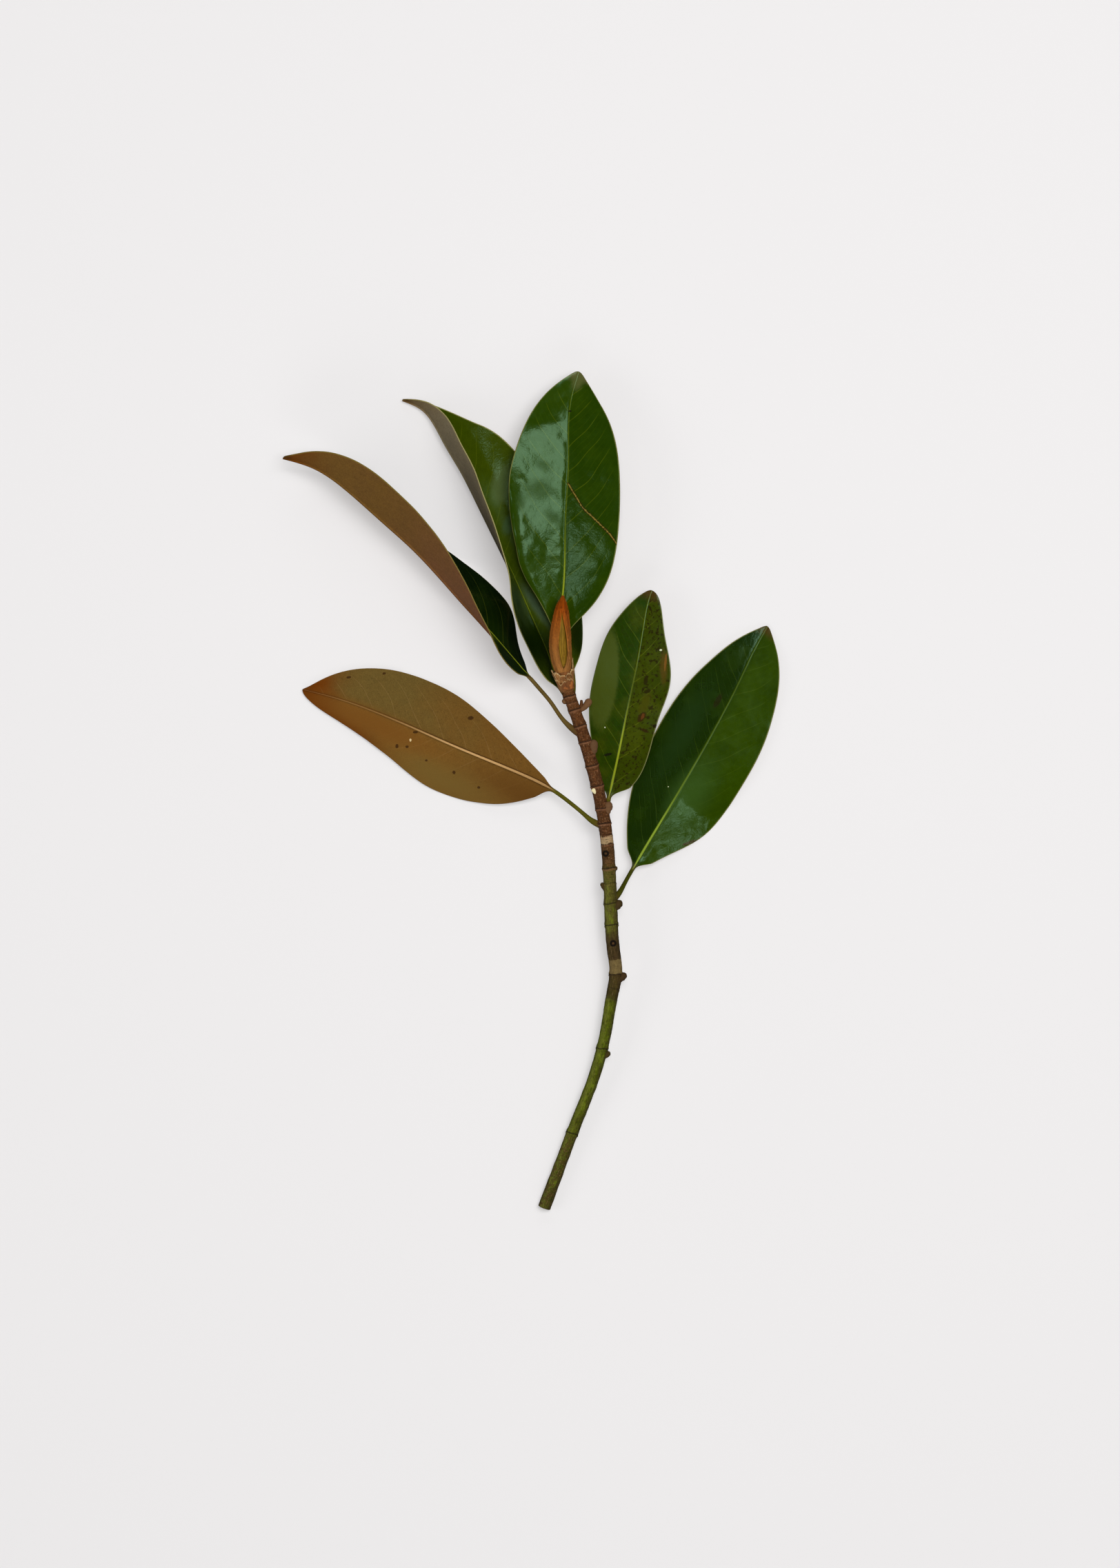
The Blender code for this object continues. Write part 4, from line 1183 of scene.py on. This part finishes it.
# The bark's colour at each Y of the twig.
TWIG_COLOURS = (
    (-229.2, ink(56, 58, 8)), (-187.6, ink(70, 76, 4)), (-140.8, ink(70, 80, 4)), (-116.0, ink(76, 84, 6)),
    (-112.0, ink(60, 52, 16)), (-100.0, ink(70, 54, 24)), (-92.0, ink(66, 50, 26)), (-80.0, ink(62, 48, 22)),
    (-75.0, ink(78, 74, 24)), (-45.0, ink(78, 74, 24)), (-39.0, ink(74, 50, 22)), (-23.0, ink(76, 46, 22)),
    (30.0, ink(82, 47, 20)), (54.6, ink(88, 52, 24)),
)


def twig_limbs():
    """The twig's side buds, knobs and the dead stub with its two ends."""
    bodies = []
    surface = TWIG_RADII[-1][1]
    for number, knob in enumerate(KNOBS):
        at = TWIG.distance_at(knob.y)
        centre, ahead, out = TWIG.outwards(at, np.radians(knob.degrees))
        root = centre + out * KNOB_ROOT - ahead * knob.sweep * KNOB_SLANT
        middle = centre + out * (surface + knob.reach * 0.4)
        end = centre + out * (surface + knob.reach) + ahead * knob.sweep
        radii = [knob.radius * swell for swell in KNOB_SWELLS]
        kept = {"along": at / TWIG.length, "around": 5.0, "bud": 0.8, "pale": knob.pale}
        bodies.append(limb_body((root, middle, end), radii, 40 + number, kept))
    kept = {"along": TWIG.distance_at(STUB_NECK[0][1]) / TWIG.length, "around": 5.0, "bud": 0.6, "pale": 0.5}
    bodies.append(limb_body(STUB_NECK, STUB_NECK_RADII, 61, kept, rows=44))
    bodies.append(limb_body(STUB_HORN, STUB_HORN_RADII, 62, {**kept, "pale": 0.0}))
    bodies.append(limb_body(CHIP, CHIP_RADII, 63, {**kept, "chip": 1.0}))
    return bodies


def twig_paint():
    """Bark that is reddish brown below the bud and green further down, with scars, streaks and specks."""

    def share(y):
        return float(TWIG.distance_at(y) / TWIG.length)

    paint = Paint("twig")
    names = ("along", "around", "rings", "cut", "bud", "pale", "chip", "lips")
    along, around, rings, cut, bud, pale, chip, lips = map(paint.read, names)
    down = along * float(TWIG.length)
    flat = paint.place(down, around)
    streaks = paint.noise(paint.place(down * 0.16, around * 1.5), 1.0, 3.0)
    fine = paint.noise(paint.place(down * 0.3, around * 2.4), 1.0, 3.0)
    wrinkles = paint.noise(paint.place(down * 1.5, around * 0.3), 1.0, 3.0, 0.6)
    mottle = paint.noise(flat, 2.4, 4.0, 0.6)
    blotch = paint.noise(flat, 7.0, 3.0, 0.6)
    grain = paint.noise(flat, 0.5)
    dust = paint.noise(flat, 0.9, 3.0, 0.7)
    specks = paint.rise(dust, 0.58, 0.68)
    wander = along + (blotch - 0.5) * 0.016 + (mottle - 0.5) * 0.006

    green_part = paint.fall(along, share(-60.0), share(-36.0))
    brown_part = 1 - green_part
    brown_belt = paint.rise(wander, share(-114.0), share(-111.0))
    brown_belt = brown_belt * paint.fall(wander, share(-79.0), share(-74.0))
    lively = green_part * (1 - brown_belt * 0.9)
    lime = paint.rise(streaks + blotch, 1.04, 1.24) * lively
    earthy = paint.fall(streaks + blotch, 0.74, 0.92) * green_part
    ragged_around = around + (mottle - 0.5) * 5 + (fine - 0.5) * 6
    shaded_side = paint.fall(ragged_around, 7.8, 9.6) * green_part
    lit_stripe = paint.rise(ragged_around, 10.6, 11.6) * paint.fall(ragged_around, 13.2, 14.4) * lively
    lowest = paint.fall(wander, share(-192.0), share(-186.0))

    stops = [(share(y), colour) for y, colour in TWIG_COLOURS]
    bark = paint.node("ShaderNodeValToRGB", {"stops": stops}, {"Fac": wander})
    bark = paint.layers(
        paint.tint(bark, 0.2 + 0.75 * streaks + 0.85 * mottle),
        (ink(36, 22, 12), paint.rise(fine, 0.56, 0.68) * 0.5),
        (ink(132, 108, 78), paint.fall(fine, 0.3, 0.46) * 0.3),
        (ink(104, 116, 24), lime * 0.6),
        (ink(56, 42, 18), earthy * 0.4),
        (ink(50, 38, 18), shaded_side * 0.5),
        (ink(116, 120, 44), lit_stripe * 0.3),
        (ink(36, 26, 12), specks * 0.6),
        (ink(70, 52, 24), lowest * paint.rise(mottle, 0.42, 0.6) * 0.7),
        (ink(126, 108, 62), lowest * paint.fall(dust, 0.34, 0.42) * 0.8),
    )
    torn = along + (mottle - 0.5) * 0.014 + (grain - 0.5) * 0.004
    for low, high, band in PALE_BANDS:
        starts, ends = (paint.rise(torn, share(y - 0.4), share(y + 0.4)) for y in (low, high))
        bark = paint.mix(bark, paint.tint(band, 0.6 + 0.8 * mottle), (starts - ends) * 0.9)
    bark = paint.layers(
        bark,
        (ink(44, 26, 18), paint.rise(wrinkles, 0.58, 0.68) * (0.2 + 0.5 * brown_part)),
        (ink(140, 90, 58), paint.fall(wrinkles, 0.34, 0.44) * 0.45 * brown_part),
        (ink(190, 150, 110), paint.fall(dust, 0.33, 0.4) * 0.4 * brown_part),
        (ink(150, 104, 74), lips * brown_part * 0.45),
        (ink(26, 16, 10), rings * 0.95),
    )
    for east, north, radius in SCARS:
        aside, ahead = paint.part("X") - east, paint.part("Y") - north
        distance = ((aside * aside + ahead * ahead) ** 0.5 + (grain - 0.5) * 0.5) / radius
        border = (ink(20, 13, 7), paint.fall(distance, 0.8, 1.15))
        bark = paint.layers(bark, border, (ink(80, 56, 32), paint.fall(distance, 0.15, 0.5)))
    knob = paint.mix(ink(64, 44, 26), ink(150, 118, 84), pale)
    bark = paint.layers(
        bark,
        (paint.tint(knob, 0.6 + 0.8 * mottle), bud * 0.75),
        (paint.tint(ink(120, 112, 62), 0.6 + 0.8 * grain), cut),
        (ink(226, 214, 168), chip),
    )
    height = 0.14 * mottle + 0.12 * streaks + 0.06 * grain - 0.1 * specks
    height = height - 0.12 * paint.rise(fine, 0.54, 0.68) - 0.1 * paint.rise(wrinkles, 0.54, 0.66)
    return paint.finish(bark, 0.5 + 0.25 * mottle, height, 0.15)


# The strip along the slit's right lip stands out a little, up to this share of the way round.
FLAP_EDGE = 0.07
FLAP_HEIGHT = 0.35

# The sheath's skin lies this far inside its outline, which the fur fills.
FUR_ROOM = 0.5
SHEATH_FOOT = 11.0
SLIT_TOP = 45.0
SLIT_FOOT = 13.8
SLIT_HALF = 2.6
SLIT_ASIDE = 1.5


# Shares of the way round the sheath, from the slit's right lip to its left one.
ROUND_SHARES = crowded(SHEATH_COLUMNS, 0.6)


def sheath_surface():
    """The sheath's outer surface on a grid, with its outward normals, its distances and its directions.

    A ring runs from the slit's right lip round the underside to its left lip. Where the slit is closed the
    two lips touch. The sheath's foot is ragged, by noise round it.
    """
    foot, end = SHEATH_FOOT, SHEATH_PROFILE[-1][0]
    rows = crowded(SHEATH_ROWS, 0.9)
    ragged = 1.1 * value_noise(ROUND_SHARES * 14, 3.5, 31)
    start = foot + ragged * smooth_step(ROUND_SHARES, 0.0, 0.03) * smooth_step(1 - ROUND_SHARES, 0.0, 0.03)
    at = start + rows[:, None] * (end - start)
    centre_at = foot + rows * (end - foot)
    opened = np.clip((centre_at - SLIT_FOOT) / (SLIT_TOP - SLIT_FOOT), 0.0, 1.0)
    half = SLIT_HALF * (np.sin(np.pi * opened**0.95) ** 0.8) * (1.35 - 0.95 * opened)
    aside = SLIT_ASIDE * smooth_step(centre_at, 8.0, 24.0) * smooth_step(52 - centre_at, 0.0, 22.0)
    radius = profile_radius(SHEATH_PROFILE, centre_at)
    edges = aside + half, aside - half
    right_lip, left_lip = (np.arcsin(np.clip(edge / radius, -0.95, 0.95)) for edge in edges)
    angle = right_lip[:, None] + ROUND_SHARES * (left_lip + 2 * np.pi - right_lip)[:, None]
    lip = np.minimum(ROUND_SHARES, 1 - ROUND_SHARES) * 2 * np.pi * radius[:, None]
    swell = 1 + 0.05 * bell(lip, 1.3) * (half > 0.2)[:, None]
    folds = 0.16 * value_noise(ROUND_SHARES * 22, at / 14, 32)
    folds = folds + 0.08 * value_noise(ROUND_SHARES * 40, at / 5, 33)
    radii = profile_radius(SHEATH_PROFILE, at) * swell + folds
    flap = FLAP_HEIGHT * (1 - smooth_step(ROUND_SHARES, FLAP_EDGE, FLAP_EDGE + 0.012))
    radii = radii + flap * (radii > 1.5)
    radii = np.maximum(radii - FUR_ROOM * smooth_step(radii, 0.3, 3.0), 0.12)
    centres, ahead, out = BUD.outwards(at, np.pi / 2 - angle)
    return centres + out * radii[..., None], out, at, ahead, radii


def sheath_body():
    """The sheath: its outer surface, and an inner one a wall further in, joined at the lips and both ends."""

    def both(outside, inside):
        """Values of the outer surface and then, back round, those of the inner one."""
        return np.concatenate([outside, inside[:, ::-1]], axis=1)

    outer, out, at, _, radii = sheath_surface()
    rings = both(outer, outer - out * np.minimum(SHEATH_WALL, radii * 0.6)[..., None])
    number, _, quads = ring_quads(*rings.shape[:2])
    outside, inside = number[:, :SHEATH_COLUMNS], number[:, : SHEATH_COLUMNS - 1 : -1]
    ends = []
    for row, step in ((0, 1), (-1, -1)):
        corners = outside[row, 1:], outside[row, :-1], inside[row, :-1], inside[row, 1:]
        ends.append(np.stack(corners, axis=1)[:, ::step])
    share = np.broadcast_to(np.arange(SHEATH_COLUMNS) / (SHEATH_COLUMNS - 1), at.shape)
    pairs = {"along": (at, at), "round": (share, share), "inside": (0 * at, 0 * at + 1)}
    return rings.reshape(-1, 3), [quads, *ends], {name: both(*pair).ravel() for name, pair in pairs.items()}


def fur_body():
    """Short silky hairs on the sheath: thin three-sided spikes, pressed towards the bud's tip.

    Their feet are random places on the sheath's surface, spread evenly over its area.
    """
    random = np.random.default_rng(FUR_SEED)
    outer, out, at, ahead, radii = sheath_surface()
    weight = radii[:-1, :-1] * np.diff(at, axis=0)[:, :-1] * np.diff(ROUND_SHARES)
    weight = np.clip(weight, 0.0, None).ravel()
    cell = random.choice(len(weight), HAIRS, p=weight / weight.sum())
    row, column = np.divmod(cell, SHEATH_COLUMNS - 1)
    down, over = random.random((2, HAIRS, 1))
    near, far = (outer[i, column] * (1 - over) + outer[i, column + 1] * over for i in (row, row + 1))
    height, lift, along = at[row, column], out[row, column], ahead[row, column]
    root = near * (1 - down) + far * down - lift * 0.08
    length = random.uniform(*HAIR_LENGTHS, (HAIRS, 1)) * smooth_step(55 - height, 0.0, 8.0)[:, None]
    length = np.maximum(length, LEAST_HAIR)
    aside = np.cross(lift, along)
    direction = along + lift * random.uniform(*HAIR_LIFTS, (HAIRS, 1))
    direction = direction + aside * random.normal(0, HAIR_SPREAD, (HAIRS, 1))
    direction /= np.linalg.norm(direction, axis=1, keepdims=True)
    first = np.cross(direction, lift)
    first /= np.linalg.norm(first, axis=1, keepdims=True)
    second = np.cross(direction, first)
    thick = random.uniform(*HAIR_RADII, (HAIRS, 1))
    ways = [first * math.cos(turn) + second * math.sin(turn) for turn in np.radians([90.0, 210.0, 330.0])]
    middle = root + direction * length * 0.55 + lift * length * 0.06
    feet = [root + thick * way for way in ways]
    middles = [middle + thick * 0.7 * way for way in ways]
    vertices = np.stack([*feet, *middles, root + direction * length], axis=1)
    number = np.arange(HAIRS)[:, None] * HAIR_PLACES
    quads = [np.array([i, (i + 1) % 3, 3 + (i + 1) % 3, 3 + i]) + number for i in range(3)]
    spikes = [np.array([3 + i, 3 + (i + 1) % 3, 6]) + number for i in range(3)]
    foot = np.array([0, 2, 1]) + number
    streak = 0.5 + 0.5 * value_noise(column / 4.5, height / 22, 34)
    share = ROUND_SHARES[column]
    # Painted shade on the hairs: just beyond the raised flap by the right lip, and along the left lip.
    lip_shade_painted = smooth_step(share, FLAP_EDGE, FLAP_EDGE + 0.01) * smooth_step(0.16 - share, 0.0, 0.06)
    lip_shade_painted = lip_shade_painted + smooth_step(share, 0.965, 0.985)
    shade = 0.35 * random.random(HAIRS) + 0.65 * streak - 0.3 * lip_shade_painted
    kept = {"along": np.repeat(height, HAIR_PLACES), "shade": np.repeat(shade, HAIR_PLACES)}
    return vertices.reshape(-1, 3), [np.concatenate(quads), np.concatenate(spikes), foot], kept


def fur_colour(paint, along, shade):
    """Rust-orange at the bud's tip, tan-orange lower down, lighter and darker by the given shade, which
    varies from hair to hair and, on the hairs, also holds painted shade by the slit's lips.
    """
    stops = (
        (0.0, ink(160, 110, 58)), (0.3, ink(168, 112, 54)), (0.6, ink(176, 104, 38)),
        (0.85, ink(166, 78, 12)), (1.0, ink(136, 66, 6)),
    )
    colour = paint.node("ShaderNodeValToRGB", {"stops": stops}, {"Fac": (along - 9.0) / 45.0})
    return paint.tint(colour, 0.35 + 1.3 * shade)


def sheath_paint():
    """The skin under the fur: streaked along the bud, darker inside."""
    paint = Paint("bud_sheath")
    along, around = paint.read("along"), paint.read("round")
    streaks = paint.noise(paint.place(along * 0.12, around * 60), 1.0, 3.0)
    colour = fur_colour(paint, along, streaks)
    colour = paint.mix(colour, ink(60, 32, 12), paint.read("inside") * 0.7)
    grain = paint.noise(paint.place(along * 0.8, around * 260), 1.0)
    return paint.finish(colour, 0.8, 0.12 * streaks + 0.08 * grain, 0.1)


def fur_paint():
    """The hairs themselves."""
    paint = Paint("bud_fur")
    colour = fur_colour(paint, paint.read("along"), paint.read("shade"))
    return paint.finish(colour, 0.55)


def heart_body():
    """The inner bud: a tube inside the sheath, with low ridges along it and a point."""
    at = crowded(HEART_ROWS, 0.9) * HEART_LENGTH + HEART_FOOT
    turn = full_turn(HEART_SIDES)
    radius = profile_radius(SHEATH_PROFILE, at) - HEART_ROOM
    radius = np.maximum(radius * np.sqrt(np.clip((at - 12.2) / 3, 0.0, 1.0)), 0.2)
    folds = 0.12 * skin_noise(turn, at, 16, 18, 51) + 0.05 * skin_noise(turn, at, 36, 4, 52)
    rings = tube_rings(BUD, at, turn, np.maximum(radius[:, None] + folds, 0.1))
    return closed_rings(rings, {"along": at[:, None], "around": turn * 5.0})


def heart_paint():
    """Olive-yellow scale, streaked along the bud."""
    paint = Paint("bud_heart")
    along, around = paint.read("along"), paint.read("around")
    streaks = paint.noise(paint.place(along * 0.14, around * 1.6), 1.0, 4.0)
    spots = paint.noise(paint.place(along, around), 1.4, 3.0)
    colour = paint.mix(ink(88, 62, 8), ink(150, 116, 34), paint.rise(streaks, 0.3, 0.7))
    colour = paint.mix(colour, ink(84, 52, 14), paint.rise(spots, 0.55, 0.75) * 0.6)
    return paint.finish(colour, 0.5, 0.15 * streaks + 0.06 * spots)


@dataclass
class Flake:
    """A torn scale base round the bud's foot: degrees round it, half-width, distances and flare."""

    degrees: float
    half_width: float
    start: float
    end: float
    flare: float
    pale: float
    rust: float = 0.0


FLAKES = (
    Flake(72.0, 64.0, 1.5, 8.2, 0.12, 0.1, 1.0),
    Flake(168.0, 52.0, 1.2, 8.8, 0.25, 0.5, 0.25),
    Flake(285.0, 85.0, 1.0, 8.4, 0.2, 0.2, 0.3),
    Flake(100.0, 26.0, 6.4, 10.8, 0.35, 0.3, 0.3),
    Flake(64.0, 22.0, 6.6, 11.6, 0.4, 0.25, 0.2),
    Flake(128.0, 24.0, 6.6, 12.8, 0.6, 0.8),
    Flake(170.0, 34.0, 6.0, 13.4, 0.6, 0.5),
    Flake(38.0, 24.0, 6.0, 13.2, 0.4, 0.4),
    Flake(8.0, 30.0, 5.0, 18.5, 0.25, 0.45),
    Flake(215.0, 44.0, 5.0, 12.4, 0.5, 0.4),
    Flake(300.0, 60.0, 5.0, 12.8, 0.4, 0.35),
)


def flake_body(flake, seed):
    """A thin curved sheet round the bud's line. Its upper edge is torn, by noise, and flares outwards."""
    side = np.linspace(-1.0, 1.0, FLAKE_COLUMNS)
    share = np.linspace(0.0, 1.0, FLAKE_ROWS)[:, None]
    torn = value_noise(side * 5 + 10, 0.5, seed) + 0.5 * value_noise(side * 13 + 30, 0.5, seed + 1)
    rounded = 1 - 0.55 * np.abs(side) ** 3
    at = flake.start + share * (flake.end - flake.start) * rounded + share**2 * torn * 0.9
    turn = np.radians(flake.degrees + flake.half_width * side * (1 - 0.15 * share))
    collar, sheath = (profile_radius(profile, at) for profile in (COLLAR_PROFILE, SHEATH_PROFILE))
    base = np.maximum(collar, sheath * (at > 9.5)) + 0.1
    lift = flake.flare * share**3 + 0.16 * value_noise(side * 6 + 5, at / 2.2, seed + 2)
    half = FLAKE_HALF * quarter_round(np.minimum(1 - np.abs(side), 1 - share) / FLAKE_EDGE)
    centres, _, out = BUD.outwards(at, turn)
    over = centres + out * (base + lift + half)[..., None]
    beneath = centres + out * (base + lift - half - 0.12 * (1 - share))[..., None]
    kept = {"torn": share, "pale": flake.pale, "rust": flake.rust}
    return closed_rings(over_and_under(over, beneath), kept)


def collar_bodies():
    """The bases of shed scales between twig and sheath: a rough core and torn flakes round it."""
    at = np.linspace(*CORE_ENDS, CORE_ROWS)
    turn = full_turn(CORE_SIDES)
    radius = profile_radius(COLLAR_PROFILE, at) - CORE_ROOM
    rough = 0.2 * skin_noise(turn, at, 14, 1.6, 71)
    rough = rough + 0.16 * np.sin(at * 2.4)[:, None] * skin_noise(turn, at, 5, 4, 72)
    rings = tube_rings(BUD, at, turn, radius[:, None] + rough)
    core = closed_rings(rings, {"torn": 0.2, "pale": 0.15, "rust": 0.3})
    return [core] + [flake_body(flake, 80 + 5 * number) for number, flake in enumerate(FLAKES)]


def collar_paint():
    """Dry scale bases: brown and rusty, with pale torn edges."""
    paint = Paint("bud_collar")
    torn, pale, rust = map(paint.read, ("torn", "pale", "rust"))
    mottle = paint.noise(paint.metres, 1.3 * MM, 4.0, 0.6)
    streaks = paint.noise(paint.metres, 3.2 * MM)
    colour = paint.layers(
        ink(88, 54, 26),
        (ink(166, 118, 68), pale),
        (ink(108, 66, 34), rust),
        (ink(152, 90, 44), rust * paint.rise(streaks, 0.54, 0.64)),
    )
    colour = paint.tint(colour, 0.3 + 1.4 * mottle)
    rim = paint.rise(torn + (mottle - 0.5) * 0.25, 0.8, 0.95)
    colour = paint.mix(colour, ink(216, 184, 130), rim * (0.35 + 0.65 * pale))
    return paint.finish(colour, 0.7, 0.14 * mottle)


def floor_paint():
    """A plain matt pale surface."""
    paint = Paint("surface")
    paint.shader.inputs["Emission Color"].default_value = FLOOR_GLOW
    paint.shader.inputs["Emission Strength"].default_value = 1.0
    return paint.finish(FLOOR_COLOUR, 0.9, gloss=0.0)


def add_floor():
    """A wide level sheet just below the bunch."""
    corners = [(x, y, FLOOR_HEIGHT) for x in (-FLOOR_REACH, FLOOR_REACH) for y in (-FLOOR_REACH, FLOOR_REACH)]
    mesh = bpy.data.meshes.new("surface")
    mesh.from_pydata(corners, [], [(0, 2, 3, 1)])
    mesh.materials.append(floor_paint())
    floor = add_object("surface", mesh)
    floor.visible_glossy = False


def facing(place):
    """The turn that points a light from its place at the bunch and keeps its width along X."""
    back = (Vector(place) - Vector((0.0, 0.02, 0.0))).normalized()
    side = (Vector((1.0, 0.0, 0.0)) - back * back.x).normalized()
    return Matrix((side, back.cross(side), back)).transposed().to_euler()


def add_light(name, place, size, power, mirrored=True):
    """A soft rectangular light that faces the bunch. One that isn't mirrored leaves glossy leaves dark."""
    light = bpy.data.lights.new(name, "AREA")
    light.shape = "RECTANGLE"
    light.size, light.size_y = size
    light.energy = power
    lamp = add_object(name, light)
    lamp.location = place
    lamp.visible_glossy = mirrored
    lamp.rotation_euler = facing(place)


def add_lights():
    """A broad light almost overhead, a soft box on the right that the leaves mirror, and lower ones."""
    add_light("overhead", (0.42, 0.4, 2.8), (1.3, 1.3), 66.0, False)
    add_light("key", (1.38, 0.65, 2.7), (0.66, 1.14), 9.4)
    add_light("key_low", (1.42, -0.5, 2.7), (0.36, 0.32), 1.1)
    add_light("glint", (-1.1, 0.1, 2.7), (0.45, 0.3), 1.3)
    add_light("fill_left", (-2.9, -0.6, 1.9), (1.6, 2.6), 24.0)
    add_light("fill_above", (0.0, 2.9, 1.9), (3.0, 1.4), 14.0)
    add_light("fill_below", (0.0, -2.9, 1.9), (3.0, 1.4), 21.0)
    add_light("fill_right", (2.9, 0.2, 1.9), (1.6, 2.4), 4.5)


def add_camera():
    """A camera that looks straight down from above the middle of the view."""
    camera = bpy.data.cameras.new("camera")
    camera.lens = CAMERA_LENS
    camera.sensor_width = 36.0
    camera.clip_end = 20.0
    view = add_object("camera", camera)
    view.location = CAMERA_PLACE
    bpy.context.scene.camera = view


def add_world():
    """Almost no light from all round, so that the leaves have nothing pale to mirror overhead."""
    world = bpy.data.worlds.new("room")
    world.use_nodes = True
    world.node_tree.nodes["Background"].inputs["Color"].default_value = (0.01, 0.01, 0.01, 1.0)
    bpy.context.scene.world = world


def main():
    add_world()
    add_camera()
    add_floor()
    add_lights()
    bpy.context.scene.view_settings.view_transform = "Standard"
    for leaf in LEAVES:
        body, length = leaf_body(leaf)
        add_piece(f"{leaf.name}_fine", [body], leaf_paint(leaf, length), [leaf.name])
    add_piece("twig_fine", [twig_body(), *twig_limbs()], twig_paint(), ["twig"])
    add_piece("bud_sheath_fine", [sheath_body()], sheath_paint(), ["bud_sheath"])
    add_piece("bud_fur", [fur_body()], fur_paint())
    add_piece("bud_heart_fine", [heart_body()], heart_paint(), ["bud_heart"])
    add_piece("bud_collar_fine", collar_bodies(), collar_paint(), ["bud_collar"])


main()
